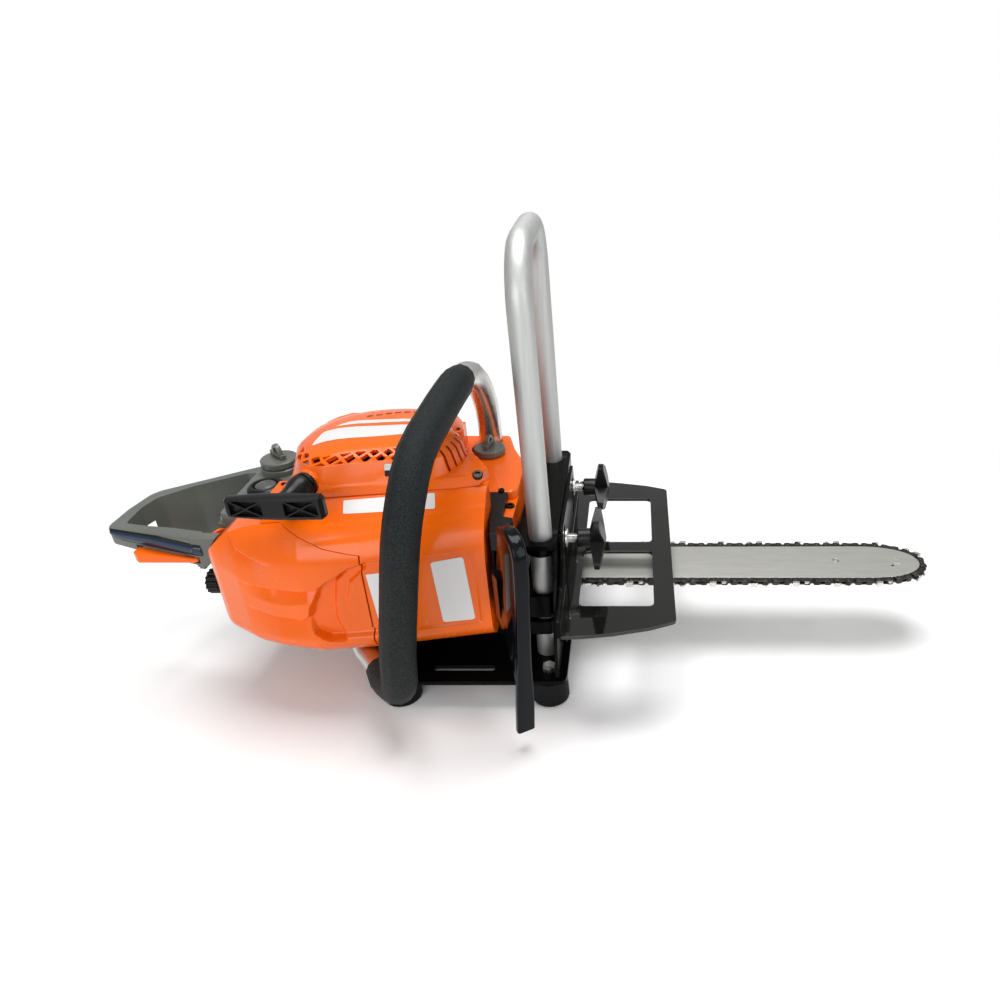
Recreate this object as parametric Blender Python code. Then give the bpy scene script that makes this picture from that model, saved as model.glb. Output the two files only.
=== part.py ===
"""Chainsaw on a milling frame. X runs along the bar, the saw's top faces -Y, Z is up."""
import math

import bmesh
import bpy
from mathutils import Matrix, Vector

# Lengths are in millimetres and become metres when a mesh is finished.
MM = 0.001
WORLD_SHIFT = Vector((79.07, 20.645, 0.0))

# Mill frame
FOOT_R, FOOT_H = 16.0, 23.7
FOOT_X, FOOT_Y = (-200.0, -72.5), (-97.0, 97.0)
BASE_Z = (24.0, 28.0)
LEG_X, LEG_Y, LEG_R = {-1: -76.0, 1: -79.5}, 70.0, 9.5
LEG_LEAN = 0.017
HANDLE_TOP_Z, HANDLE_BEND_R = 367.0, 40.0
FLANGE_Z = (142.0, 146.0)
COLLAR_HEIGHT, COLLAR_R = 10.0, 12.4
UPRIGHT_X = (-66.0, -63.0)
BACK_X = (-96.0, -93.0)
BRACKET_X = (-62.0, -59.0)
PLATE_Z = (87.0, 90.0)
STUD_Y, STUD_Z, STUD_R = 45.0, 128.0, 4.0
BRACKET_UP, BRACKET_DOWN = 28.0, 8.0
KNOB_R, KNOB_THICK = 28.5, 13.0

# Bar and chain
BAR_Z, BAR_THICK, BAR_HALF = 71.6, 4.0, 26.0
BAR_TAIL_X, BAR_NOSE_X = -150.0, 264.0
CHAIN_PITCH, CHAIN_THICK = 9.32, 4.8

# Saw
CRANK_X, CRANK_Y = -205.0, -9.0
COVER_BASE_Z = 189.7
COVER_TOP_Z = 224.0
COVER_CROWN = (-200.0, -45.0)
SHROUD_INNER_Y = -58.0
SHROUD_STEPS = 22
SHROUD_FRONT_X, SHROUD_SEAM_X, SHROUD_REAR_X = -113.0, -206.0, -280.0
HANDLE_R, FOAM_R = 10.8, 13.4
FUEL_CAP = (-318.0, 22.0, 164.0)
OIL_CAP = (-131.0, 31.0, 170.3)
CAP_PIVOT_RISE = 2.9
PRIMER = (-315.0, -17.0, 158.3)
GUARD_PIVOT = (-103.0, -84.0)
GUARD_LEAN = 0.05
GRIP_DIR = Vector((-0.316, -0.948, -0.03)).normalized()
ROPE_EXIT = Vector((-249.0, -86.1, 200.0))


def clear_scene():
    for ob in list(bpy.data.objects):
        bpy.data.objects.remove(ob, do_unlink=True)


def material(name, colour, roughness, metallic=0.0):
    mat = bpy.data.materials.new(name)
    mat.use_nodes = True
    shader = mat.node_tree.nodes["Principled BSDF"]
    shader.inputs["Base Color"].default_value = (*colour, 1.0)
    shader.inputs["Roughness"].default_value = roughness
    shader.inputs["Metallic"].default_value = metallic
    mat.diffuse_color = (*colour, 1.0)
    return mat


ORANGE = ((0.85, 0.16, 0.02), 0.3)
BLACK = ((0.02, 0.02, 0.02), 0.45)
GREY = ((0.10, 0.11, 0.10), 0.45)
STEEL = ((0.6, 0.6, 0.6), 0.35, 1.0)


def finish(bm, name, look, origin=(0.0, 0.0, 0.0), smooth=32.0):
    """Weld, orient and scale the mesh, then store it as one object with its own material."""
    bmesh.ops.remove_doubles(bm, verts=bm.verts, dist=0.02)
    bmesh.ops.recalc_face_normals(bm, faces=bm.faces)
    limit = math.radians(smooth)
    for face in bm.faces:
        face.smooth = True
    for edge in bm.edges:
        edge.smooth = edge.calc_face_angle(0.0) < limit
    shift = Matrix.Translation(-Vector(origin))
    bmesh.ops.transform(bm, matrix=Matrix.Scale(MM, 4) @ shift, verts=bm.verts)
    mesh = bpy.data.meshes.new(name)
    bm.to_mesh(mesh)
    bm.free()
    ob = bpy.data.objects.new(name, mesh)
    ob.location = (Vector(origin) + WORLD_SHIFT) * MM
    bpy.context.scene.collection.objects.link(ob)
    mesh.materials.append(material(name, *look))
    return ob


def combined(base, tools, operation):
    """Boolean of bmesh solids: each tool is added to or taken from the base."""
    def holder(bm, name):
        bmesh.ops.recalc_face_normals(bm, faces=bm.faces)
        mesh = bpy.data.meshes.new(name)
        bm.to_mesh(mesh)
        bm.free()
        ob = bpy.data.objects.new(name, mesh)
        bpy.context.scene.collection.objects.link(ob)
        return ob

    body = holder(base, "work")
    helpers = []
    for tool in tools:
        helper = holder(tool, "tool")
        helpers.append(helper)
        mod = body.modifiers.new("boolean", "BOOLEAN")
        mod.object = helper
        mod.operation = operation
        mod.solver = "EXACT"
    graph = bpy.context.evaluated_depsgraph_get()
    shaped = bpy.data.meshes.new_from_object(body.evaluated_get(graph))
    out = bmesh.new()
    out.from_mesh(shaped)
    for ob in helpers + [body]:
        bpy.data.objects.remove(ob, do_unlink=True)
    bmesh.ops.remove_doubles(out, verts=out.verts, dist=0.02)
    bmesh.ops.dissolve_limit(out, angle_limit=0.01, verts=out.verts, edges=out.edges)
    return out


def cut(base, *tools):
    return combined(base, tools, "DIFFERENCE")


def joined(base, *tools):
    return combined(base, tools, "UNION")


def soften(bm, width, segments=2, angle=50.0, test=None):
    """Round the edges that are sharper than the angle."""
    bmesh.ops.recalc_face_normals(bm, faces=bm.faces)
    limit = math.radians(angle)
    edges = []
    for edge in bm.edges:
        if edge.is_manifold and edge.calc_face_angle(0.0) > limit:
            if test is None or all(test(v.co) for v in edge.verts):
                edges.append(edge)
    bmesh.ops.bevel(bm, geom=edges, offset=width, segments=segments, profile=0.5,
                    affect="EDGES", clamp_overlap=True)
    return bm


def circle(cx, cy, radius, sides, start=0.0):
    step = 2.0 * math.pi / sides
    return [(cx + radius * math.cos(start + i * step), cy + radius * math.sin(start + i * step))
            for i in range(sides)]


def rounded(points, radius, steps=3):
    """Replace the corners of a polygon by short arcs."""
    out = []
    count = len(points)
    for i in range(count):
        here = Vector(points[i])
        back = Vector(points[i - 1]) - here
        ahead = Vector(points[(i + 1) % count]) - here
        reach = min(radius, back.length * 0.45, ahead.length * 0.45)
        a = here + back.normalized() * reach
        b = here + ahead.normalized() * reach
        for k in range(steps + 1):
            t = k / steps
            p = a.lerp(here, t).lerp(here.lerp(b, t), t)
            out.append((p.x, p.y))
    return out


def slot(cx, cy, half_x, half_y, radius):
    return rounded([(cx - half_x, cy - half_y), (cx + half_x, cy - half_y),
                    (cx + half_x, cy + half_y), (cx - half_x, cy + half_y)], radius)


PLANES = {
    "z": lambda a, b, h: (a, b, h),
    "x": lambda a, b, h: (h, a, b),
    "y": lambda a, b, h: (a, h, b),
}


def prism(outline, low, high, axis="z", holes=()):
    """Extrude a flat outline with holes between two heights along an axis."""
    place = PLANES[axis]
    bm = bmesh.new()
    edges = []
    for loop in [outline, *holes]:
        verts = [bm.verts.new(place(a, b, low)) for a, b in loop]
        for i, vert in enumerate(verts):
            edges.append(bm.edges.new((vert, verts[(i + 1) % len(verts)])))
    bmesh.ops.triangle_fill(bm, use_beauty=True, use_dissolve=False, edges=edges)
    made = bmesh.ops.extrude_face_region(bm, geom=list(bm.faces))
    top = [g for g in made["geom"] if isinstance(g, bmesh.types.BMVert)]
    bmesh.ops.translate(bm, vec=Vector(place(0, 0, high)) - Vector(place(0, 0, low)), verts=top)
    bmesh.ops.recalc_face_normals(bm, faces=bm.faces)
    if not holes:
        bmesh.ops.dissolve_limit(bm, angle_limit=0.001, verts=bm.verts, edges=bm.edges)
    return bm


def box(x0, x1, y0, y1, z0, z1):
    return prism([(x0, y0), (x1, y0), (x1, y1), (x0, y1)], z0, z1)


def lathe(profile, centre, axis="z", sides=24, closed=False):
    """Revolve (radius, height) points about an axis through the centre."""
    place = PLANES[axis]
    offset = Vector(centre)
    bm = bmesh.new()
    rings = []
    for radius, height in profile:
        if radius < 1e-6:
            rings.append([bm.verts.new(offset + Vector(place(0, 0, height)))])
            continue
        ring = circle(0, 0, radius, sides)
        rings.append([bm.verts.new(offset + Vector(place(a, b, height))) for a, b in ring])
    pairs = list(zip(rings, rings[1:]))
    if closed:
        pairs.append((rings[-1], rings[0]))
    for lower, upper in pairs:
        bridge(bm, lower, upper)
    return bm


def bridge(bm, lower, upper):
    count = max(len(lower), len(upper))
    for i in range(count):
        j = (i + 1) % count
        if len(lower) == 1:
            bm.faces.new((lower[0], upper[j], upper[i]))
        elif len(upper) == 1:
            bm.faces.new((lower[i], lower[j], upper[0]))
        else:
            bm.faces.new((lower[i], lower[j], upper[j], upper[i]))


def loft(sections):
    """Skin rings of equal length and close both ends."""
    bm = bmesh.new()
    rings = [[bm.verts.new(p) for p in section] for section in sections]
    for lower, upper in zip(rings, rings[1:]):
        bridge(bm, lower, upper)
    bm.faces.new(list(reversed(rings[0])))
    bm.faces.new(rings[-1])
    bmesh.ops.recalc_face_normals(bm, faces=bm.faces)
    return bm


def smooth_path(points, steps):
    """Catmull-Rom curve through the points."""
    pts = [Vector(p) for p in points]
    pts = [pts[0] * 2 - pts[1]] + pts + [pts[-1] * 2 - pts[-2]]
    out = []
    for i in range(1, len(pts) - 2):
        a, b, c, d = pts[i - 1:i + 3]
        for k in range(steps):
            t = k / steps
            out.append(0.5 * (2 * b + (c - a) * t + (2 * a - 5 * b + 4 * c - d) * t * t
                              + (3 * b - a - 3 * c + d) * t ** 3))
    out.append(pts[-2])
    return out


def path_frames(path):
    """Directions across the path that turn as little as possible."""
    tangents = []
    for i, here in enumerate(path):
        before = path[max(i - 1, 0)]
        after = path[min(i + 1, len(path) - 1)]
        tangents.append((after - before).normalized())
    side = tangents[0].orthogonal().normalized()
    frames = []
    for tangent in tangents:
        side = (side - tangent * side.dot(tangent)).normalized()
        frames.append((side, tangent.cross(side)))
    return frames


def ring_on_path(path, frames, index, radius, sides):
    side, up = frames[index]
    return [path[index] + side * a + up * b for a, b in circle(0, 0, radius, sides)]


def swept(path, radius, sides):
    frames = path_frames(path)
    return loft([ring_on_path(path, frames, i, radius, sides) for i in range(len(path))])


def sleeve(path, frames, first, last, outer, inner, sides):
    """Hollow tube on part of a path with rounded ends."""
    ends = {first: outer - 2.0, last: outer - 2.0}
    loops = []
    for i in range(first, last + 1):
        loops.append(ring_on_path(path, frames, i, ends.get(i, outer), sides))
    for i in range(last, first - 1, -1):
        loops.append(ring_on_path(path, frames, i, inner, sides))
    bm = bmesh.new()
    rings = [[bm.verts.new(p) for p in loop] for loop in loops]
    for lower, upper in zip(rings, rings[1:] + rings[:1]):
        bridge(bm, lower, upper)
    bmesh.ops.recalc_face_normals(bm, faces=bm.faces)
    return bm


# Mill frame


def build_base():
    outline = rounded([(-240, -66), (-206, -111), (-57, -111), (-57, 111), (-206, 111), (-240, 66)], 8)
    holes = [slot(-145, -94, 26, 3, 3), slot(-145, 94, 26, 3, 3)]
    holes += [circle(x, y, 4.3, 12) for x in FOOT_X for y in FOOT_Y]
    finish(prism(outline, *BASE_Z, holes=holes), "base_plate", BLACK)
    for x, end in zip(FOOT_X, ("rear", "front")):
        for y, side in zip(FOOT_Y, ("near", "far")):
            build_foot(x, y, side + "_" + end)


def build_foot(x, y, label):
    profile = [(0, 0), (FOOT_R - 1.5, 0), (FOOT_R, 1.5), (FOOT_R - 1.0, FOOT_H), (0, FOOT_H)]
    foot = lathe(profile, (x, y, 0), sides=24)
    finish(foot, "foot_" + label, BLACK)
    shank = prism(circle(x, y, 4.0, 12), FOOT_H + 0.3, 30.0)
    head = prism(circle(x, y, 6.0, 6, math.radians(30)), 28.3, 34.0)
    finish(joined(head, shank), "foot_bolt_" + label, STEEL)


def leg_x(y, z):
    """The U stands slightly turned and leans back above the flange."""
    share = (y + LEG_Y) / (2 * LEG_Y)
    base = LEG_X[-1] + (LEG_X[1] - LEG_X[-1]) * share
    return base - LEG_LEAN * max(0.0, z - FLANGE_Z[1])


def build_push_handle():
    z_bend = HANDLE_TOP_Z - HANDLE_BEND_R
    y_bend = LEG_Y - HANDLE_BEND_R
    path = [Vector((LEG_X[-1], -LEG_Y, BASE_Z[1] + 0.3)), Vector((LEG_X[-1], -LEG_Y, FLANGE_Z[1]))]
    for side in (-1, 1):
        angles = range(0, 91, 15) if side < 0 else range(90, -1, -15)
        for degrees in angles:
            turn = math.radians(degrees)
            y = side * (y_bend + HANDLE_BEND_R * math.cos(turn))
            z = z_bend + HANDLE_BEND_R * math.sin(turn)
            path.append(Vector((leg_x(y, z), y, z)))
    path.append(Vector((LEG_X[1], LEG_Y, FLANGE_Z[1])))
    path.append(Vector((LEG_X[1], LEG_Y, BASE_Z[1] + 0.3)))
    finish(swept(path, LEG_R, 16), "push_handle", STEEL)


def build_upright():
    """Two vertical plates, the flange on top of them and the two collars."""
    outline = rounded([(-110, 28.3), (110, 28.3), (110, 62), (98, 96), (86, 118), (86, 141.7),
                       (-86, 141.7), (-86, 118), (-98, 96), (-110, 62)], 6)
    opening = slot(0, 77, 40, 22, 5)
    studs = [circle(y, STUD_Z, STUD_R + 0.5, 16) for y in (-STUD_Y, STUD_Y)]
    sides = [slot(y, 60, 14, 14, 5) for y in (-72, 72)]
    finish(prism(outline, *UPRIGHT_X, axis="x", holes=[opening, *studs, *sides]), "upright_plate", BLACK)
    back = rounded([(-84, 28.3), (84, 28.3), (84, 100), (84, 141.7), (-84, 141.7), (-84, 100)], 4)
    arch = slot(0, 88, 46, 34, 14)
    finish(prism(back, *BACK_X, axis="x", holes=[arch]), "back_plate", BLACK)
    arc = []
    for degrees in range(-60, 61, 12):
        turn = math.radians(degrees)
        arc.append((-122 + 44 * math.cos(turn), 50 * math.sin(turn) / math.sin(math.radians(60))))
    flange = [(-96, -80), (-90, -87), (-66, -87), (-62.6, -81), (-62.6, 81), (-66, 87), (-90, 87), (-96, 80)]
    flange += [(max(x, -96.0), y) for x, y in reversed(arc)]
    holes = [circle(LEG_X[side], side * LEG_Y, LEG_R + 0.8, 24) for side in (-1, 1)]
    finish(prism(flange, *FLANGE_Z, holes=holes), "top_flange", BLACK)
    for side, label in ((-1, "near"), (1, "far")):
        low, high = FLANGE_Z[0] - COLLAR_HEIGHT, FLANGE_Z[0] - 0.3
        inner = LEG_R + 0.4
        profile = [(inner, low), (COLLAR_R - 0.6, low), (COLLAR_R, low + 0.6), (COLLAR_R, high), (inner, high)]
        collar = lathe(profile, (LEG_X[side], side * LEG_Y, 0), closed=True, sides=20)
        flat = box(UPRIGHT_X[0] - 0.3, UPRIGHT_X[0] + 20, -100, 100, low - 5, high + 5)
        finish(cut(collar, flat), "collar_" + label, BLACK)


def build_bar_clamp():
    """Two jaws between the vertical plates that hold the bar and ride on the legs."""
    holes = [circle(LEG_X[side], side * LEG_Y, LEG_R + 0.4, 24) for side in (-1, 1)]
    outline = rounded([(-92.5, -84), (-66.6, -84), (-66.6, 84), (-92.5, 84)], 8)
    for name, low, high in (("bar_clamp_upper", 74.0, 95.0), ("bar_clamp_lower", 56.0, 69.2)):
        jaw = prism(outline, low, high, holes=holes)
        grooves = []
        for y in (-29.5, 29.5):
            edge = low if name.endswith("upper") else high
            grooves.append(box(-100, -50, y - 8, y + 8, edge - 5, edge + 5))
        finish(cut(jaw, *grooves), name, BLACK)


def build_bracket():
    """Sliding plate with the slots for the studs and an arch over the bar."""
    outline = rounded([(-58, 145), (-66, 122), (-84, 104), (-120, 96), (-120, 80), (-84, 72), (-74, 38), (-44, 38),
                       (-44, 85), (44, 85), (44, 38), (74, 38), (84, 72), (120, 80), (120, 96),
                       (84, 104), (66, 122), (58, 145)], 3, 2)
    low = STUD_Z - STUD_R - 0.6 - BRACKET_UP
    high = STUD_Z + STUD_R + 0.6 + BRACKET_DOWN
    slots = [slot(y, (low + high) / 2, STUD_R + 0.5, (high - low) / 2, 4.5) for y in (-STUD_Y, STUD_Y)]
    finish(prism(outline, *BRACKET_X, axis="x", holes=slots), "guide_bracket", BLACK)


def build_guide_plate():
    edge = [(33, 110), (33, 0), (33, -109), (12, -117.5), (-18, -124.5), (-40, -127.5), (-58.7, -128.5),
            (-58.7, 128.5), (-40, 127.5), (-18, 124.5), (12, 118)]
    windows = [slot(-15.2, 49.2, 30.8, 40.8, 5), slot(-15.2, -48.2, 30.8, 40.8, 5)]
    finish(prism(rounded(edge, 3, 2), *PLATE_Z, holes=windows), "guide_plate", BLACK)


def build_clamps():
    for side, y, turn in (("near", -STUD_Y, 36.0), ("far", STUD_Y, 16.0)):
        head = [(0, -70.5), (7, -70.5), (8.5, -68.5), (8.5, -66.4), (STUD_R, -66.4), (STUD_R, -36), (3, -35),
                (0, -35)]
        finish(lathe(head, (0, y, STUD_Z), axis="x", sides=14), "stud_" + side, STEEL)
        washer = [(STUD_R + 0.3, -58.7), (8, -58.7), (8, -56.9), (STUD_R + 0.3, -56.9)]
        finish(lathe(washer, (0, y, STUD_Z), axis="x", sides=16, closed=True), "washer_" + side, STEEL)
        build_clamp_knob("clamp_knob_" + side, y, turn)


def build_clamp_knob(name, y, turn):
    """Hub with a blind bore and four tapering lobes."""
    centre = Vector((0, y, STUD_Z))
    lobe_x = -31.5
    outline = []
    for lobe in range(4):
        base = math.radians(turn + 90 * lobe)
        for offset, radius in ((-28, 13), (-11, 25), (-6, KNOB_R - 1.2), (0, KNOB_R), (6, KNOB_R - 1.2),
                               (11, 25), (28, 13), (45, 9.5)):
            thick = 2.0 + (KNOB_THICK / 2 - 2.0) * max(0.0, (KNOB_R - radius) / KNOB_R) * 1.4
            outline.append((base + math.radians(offset), radius, min(thick, KNOB_THICK / 2)))
    bm = bmesh.new()
    front = []
    back = []
    for angle, radius, thick in outline:
        spot = Vector((0, radius * math.cos(angle), radius * math.sin(angle))) + centre
        front.append(bm.verts.new(spot + Vector((lobe_x + thick, 0, 0))))
        back.append(bm.verts.new(spot + Vector((lobe_x - thick, 0, 0))))
    tip = [bm.verts.new(centre + Vector((lobe_x + KNOB_THICK / 2 + 1, 0, 0)))]
    tail = [bm.verts.new(centre + Vector((lobe_x - KNOB_THICK / 2 - 1, 0, 0)))]
    bridge(bm, tail, back)
    bridge(bm, back, front)
    bridge(bm, front, tip)
    bore = lathe([(0, -60), (STUD_R + 0.4, -60), (STUD_R + 0.4, -34.2), (0, -34.2)], centre, axis="x", sides=14)
    solid_hub = lathe([(0, -48.5), (7.5, -48.5), (8.2, -47.5), (8.2, -32), (0, -32)], centre, axis="x", sides=16)
    finish(cut(joined(bm, solid_hub), bore), name, BLACK, origin=(lobe_x, y, STUD_Z))


# Bar and chain


def bar_edge(offset):
    """Half outline of the bar grown by an offset, from the tail on +Y round the nose to the tail on -Y."""
    nose = 52.0 + offset
    half = BAR_HALF + offset
    start = BAR_NOSE_X + offset - nose
    points = []
    for degrees in range(90, -91, -10):
        turn = math.radians(degrees)
        squash = abs(math.cos(turn)) ** 0.86
        points.append((start + nose * squash, half * math.sin(turn)))
    return points


def build_bar():
    outline = [(-172, 11), (-162, 20), (BAR_TAIL_X, BAR_HALF - 1)] + bar_edge(0.0)
    outline += [(BAR_TAIL_X, 1 - BAR_HALF), (-162, -20), (-172, -11)]
    holes = [slot(-140, 0, 26, 4.2, 4), circle(187, 2, 3.2, 16)]
    low = BAR_Z - BAR_THICK / 2
    finish(prism(outline, low, low + BAR_THICK, holes=holes), "guide_bar", STEEL)


def chain_line():
    """Closed line through the rivets: bar edges, nose and sprocket."""
    edge = BAR_HALF + 3.2
    points = [Vector((x, y, 0)) for x, y in [(BAR_TAIL_X, edge), *bar_edge(3.2), (BAR_TAIL_X, -edge)]]
    wheel = 21.0
    for degrees in range(-93, -255, -16):
        turn = math.radians(degrees)
        points.append(Vector((CRANK_X + wheel * math.cos(turn), CRANK_Y + wheel * math.sin(turn), 0)))
    points.append(points[0].copy())
    return points


def spaced(line, count):
    """Points at equal distances on a closed line."""
    lengths = [0.0]
    for a, b in zip(line, line[1:]):
        lengths.append(lengths[-1] + (b - a).length)
    out = []
    leg = 0
    for i in range(count):
        goal = lengths[-1] * i / count
        while lengths[leg + 1] < goal:
            leg += 1
        t = (goal - lengths[leg]) / (lengths[leg + 1] - lengths[leg])
        out.append(line[leg].lerp(line[leg + 1], t))
    return out


def build_chain():
    """Ring whose outer edge rises at the links and gauges, with a top plate bent over each cutter."""
    line = chain_line()
    total = sum((b - a).length for a, b in zip(line, line[1:]))
    links = 4 * round(total / CHAIN_PITCH / 4)
    points = spaced(line, links * 2)
    count = len(points)
    outer = []
    inner = []
    for i, here in enumerate(points):
        run = (points[(i + 1) % count] - points[i - 1]).normalized()
        out = Vector((-run.y, run.x, 0))
        step = i % 16
        rise = {0: 3.0, 1: 1.4, 2: 2.6, 3: 2.4, 4: 1.6, 5: 2.6, 6: 1.4, 7: 2.4,
                8: 2.4, 9: 1.4, 10: 5.2, 11: 5.6, 12: 1.8, 13: 2.6, 14: 1.4, 15: 4.4}[step]
        outer.append((here + out * rise).to_2d())
        inner.append((here - out * 2.0).to_2d())
    low = BAR_Z - CHAIN_THICK / 2
    ring = prism([tuple(p) for p in outer], low, low + CHAIN_THICK, holes=[[tuple(p) for p in inner]])
    plates = bmesh.new()
    for k, i in enumerate(range(11, count, 16)):
        here = points[i]
        run = (points[(i + 1) % count] - points[i - 1]).normalized()
        out = Vector((-run.y, run.x, 0))
        side = 1 if k % 2 == 0 else -1
        low_z, high_z = (BAR_Z - 0.4, BAR_Z + 3.0) if side > 0 else (BAR_Z - 3.0, BAR_Z + 0.4)
        corners = [here + run * a + out * b for a, b in ((-4.6, 3.4), (3.4, 2.6), (3.4, 4.2), (-4.6, 4.95))]
        base = [plates.verts.new((c.x, c.y, low_z)) for c in corners]
        roof = [plates.verts.new((c.x, c.y, high_z)) for c in corners]
        bridge(plates, base, roof)
        plates.faces.new(list(reversed(base)))
        plates.faces.new(roof)
    finish(joined(ring, plates), "saw_chain", STEEL)


# Saw housings


def build_crankcase():
    upper = prism([(-268, -56), (-119, -56), (-123, -38), (-153, -2), (-156, 58), (-268, 58)], 78, 189.2)
    tank = prism(rounded([(-190, -40), (-100, -40), (-97, -34), (-97, 14), (-110, 44), (-118, 72), (-190, 72)], 4),
                 78, 170)
    top_lug = prism(rounded([(-112, -30), (-112, -86), (-108, -92), (-98, -92), (-97, -86), (-97, -20)], 2), 146, 162)
    low_lug = prism(rounded([(-112.6, -50), (-112.6, -92), (-97, -92), (-97, -30)], 2), 78.2, 90)
    body = joined(upper, soften(tank, 3), top_lug, low_lug)
    finish(body, "crankcase", ORANGE)


def ray_radius(polygon, centre, angle):
    """Distance from the centre to a polygon in one direction."""
    dx, dy = math.cos(angle), math.sin(angle)
    best = 0.0
    for i, (x0, y0) in enumerate(polygon):
        x1, y1 = polygon[(i + 1) % len(polygon)]
        ex, ey = x1 - x0, y1 - y0
        det = ex * dy - ey * dx
        if abs(det) < 1e-9:
            continue
        rx, ry = x0 - centre[0], y0 - centre[1]
        along = (ex * ry - ey * rx) / det
        part = (dx * ry - dy * rx) / det
        if -1e-9 <= part <= 1 + 1e-9 and along > 0:
            best = max(best, along)
    return best


COVER_OUTLINE = rounded([(-276, -38), (-266, -66), (-267, -91), (-124, -68.5), (-113.5, -61), (-119, -42),
                         (-150, -6), (-153, 44), (-170, 60), (-262, 60), (-276, 42)], 7)
COVER_CENTRE = (CRANK_X, CRANK_Y)
COVER_SIDES = 42
LATTICE_UP, LATTICE_DOWN, LATTICE_OPEN = (7.4, 4.9), (5.8, -5.7), 0.74
LATTICE_START, LATTICE_END = math.radians(-144), math.radians(-47)
GRIP_SEAT_R = 10.4


def dome_radius(angle):
    """Plan radius of the dome's wall: a rounded oval."""
    ax, ay, power = 69.0, 66.0 if math.sin(angle) > 0 else 80.0, 2.8
    c, s = abs(math.cos(angle)), abs(math.sin(angle))
    return ((c / ax) ** power + (s / ay) ** power) ** (-1 / power)


def wall_radius(angle):
    """Plan radius of the wall above the shoulder."""
    return min(dome_radius(angle), ray_radius(COVER_OUTLINE, COVER_CENTRE, angle) - 2.2)


def cover_ring(level, base_inset, dome_inset, mix):
    ring = []
    for i in range(COVER_SIDES):
        angle = 2 * math.pi * i / COVER_SIDES
        base = ray_radius(COVER_OUTLINE, COVER_CENTRE, angle) - base_inset
        dome = min(dome_radius(angle), base) - dome_inset
        radius = base * (1 - mix) + dome * mix
        x, y = COVER_CENTRE[0] + radius * math.cos(angle), COVER_CENTRE[1] + radius * math.sin(angle)
        ring.append(Vector((x, y, crowned(x, y, level))))
    return ring


def crowned(x, y, level):
    """The dome falls away from its crown near the starter side."""
    share = max(0.0, (level - 199.0) / 25.0) ** 1.3
    reach = max(0.0, math.hypot(x - COVER_CROWN[0], y - COVER_CROWN[1]) - 25.0)
    return level - 0.0038 * reach * reach * share


def rope_frame():
    """Frame at the rope's exit whose Y axis is the pull direction."""
    side = Vector((-GRIP_DIR.y, GRIP_DIR.x, 0)).normalized()
    up = side.cross(GRIP_DIR).normalized()
    return Matrix.Translation(ROPE_EXIT) @ Matrix((side, GRIP_DIR, up)).transposed().to_4x4()


def build_starter_cover():
    """Hollow dome with a shoulder, a lattice band and slots at the front and on the far rim."""
    outer = [(COVER_BASE_Z, 0, 0, 0), (196, 0.6, 0, 0), (198, 1.6, 0, 0), (199.5, 2.2, 0, 1), (213.6, 2.5, 3.5, 1),
             (216.6, 2.5, 6.5, 1), (220.8, 2.5, 15, 1), (222.6, 2.5, 25, 1), (223.6, 2.5, 38, 1),
             (COVER_TOP_Z, 2.5, 55, 1)]
    inner = [(COVER_BASE_Z, 2.4, 0, 0), (195, 5, 2.4, 1), (211.2, 5, 6, 1), (214.3, 5, 9.4, 1), (218.2, 5, 18, 1),
             (220.6, 5, 37, 1), (221.4, 5, 55, 1)]
    bm = bmesh.new()
    rings = [[bm.verts.new(p) for p in cover_ring(*spec)] for spec in reversed(inner)]
    rings += [[bm.verts.new(p) for p in cover_ring(*spec)] for spec in outer]
    bm.faces.new(rings[0])
    for lower, upper in zip(rings, rings[1:]):
        bridge(bm, lower, upper)
    bm.faces.new(list(reversed(rings[-1])))
    bmesh.ops.recalc_face_normals(bm, faces=bm.faces)
    boss = lathe([(0, -15), (9.4, -15), (9.4, -5.6), (8.6, -5), (0, -5)], (0, 0, 0), axis="y", sides=24)
    bore = lathe([(0, -22), (2.6, -22), (2.6, -5), (GRIP_SEAT_R, -5), (GRIP_SEAT_R, 16), (0, 16)], (0, 0, 0),
                 axis="y", sides=24)
    for part in (boss, bore):
        bmesh.ops.transform(part, matrix=rope_frame(), verts=part.verts)
    finish(cut(joined(bm, boss), bore, cover_slots()), "starter_cover", ORANGE, smooth=28)


def wall_cutter(bm, corners, out, depth):
    """Add one prism cutter that crosses the wall along the direction out."""
    low = [bm.verts.new(c - out * depth) for c in corners]
    high = [bm.verts.new(c + out * depth) for c in corners]
    bridge(bm, low, high)
    bm.faces.new(list(reversed(low)))
    bm.faces.new(high)


def dome_point(angle, rise):
    """Point on the dome a given way up the slope above its wall, and the slope's outward direction."""
    radial = Vector((math.cos(angle), math.sin(angle), 0))
    radius = wall_radius(angle) - 4.6 - rise * 0.82
    x, y = CRANK_X + radius * radial.x, CRANK_Y + radius * radial.y
    out = (radial + Vector((0, 0, 0.9 + rise * 0.09))).normalized()
    return Vector((x, y, crowned(x, y, 214.4 + rise * 0.5))), out


def clipped(polygon, low, high):
    """A polygon of (along, rise) points cut off below low and above high."""
    for limit, sign in ((low, 1), (high, -1)):
        kept = []
        for i, (a, b) in enumerate(polygon):
            c, d = polygon[i - 1]
            if (b - limit) * (d - limit) < 0:
                t = (limit - d) / (b - d)
                kept.append((c + (a - c) * t, limit))
            if (b - limit) * sign >= 0:
                kept.append((a, b))
        polygon = kept
        if len(polygon) < 3:
            return []
    return polygon


def polygon_area(polygon):
    return abs(sum(a * d - b * c for (a, b), (c, d) in zip(polygon, polygon[1:] + polygon[:1]))) / 2


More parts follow.
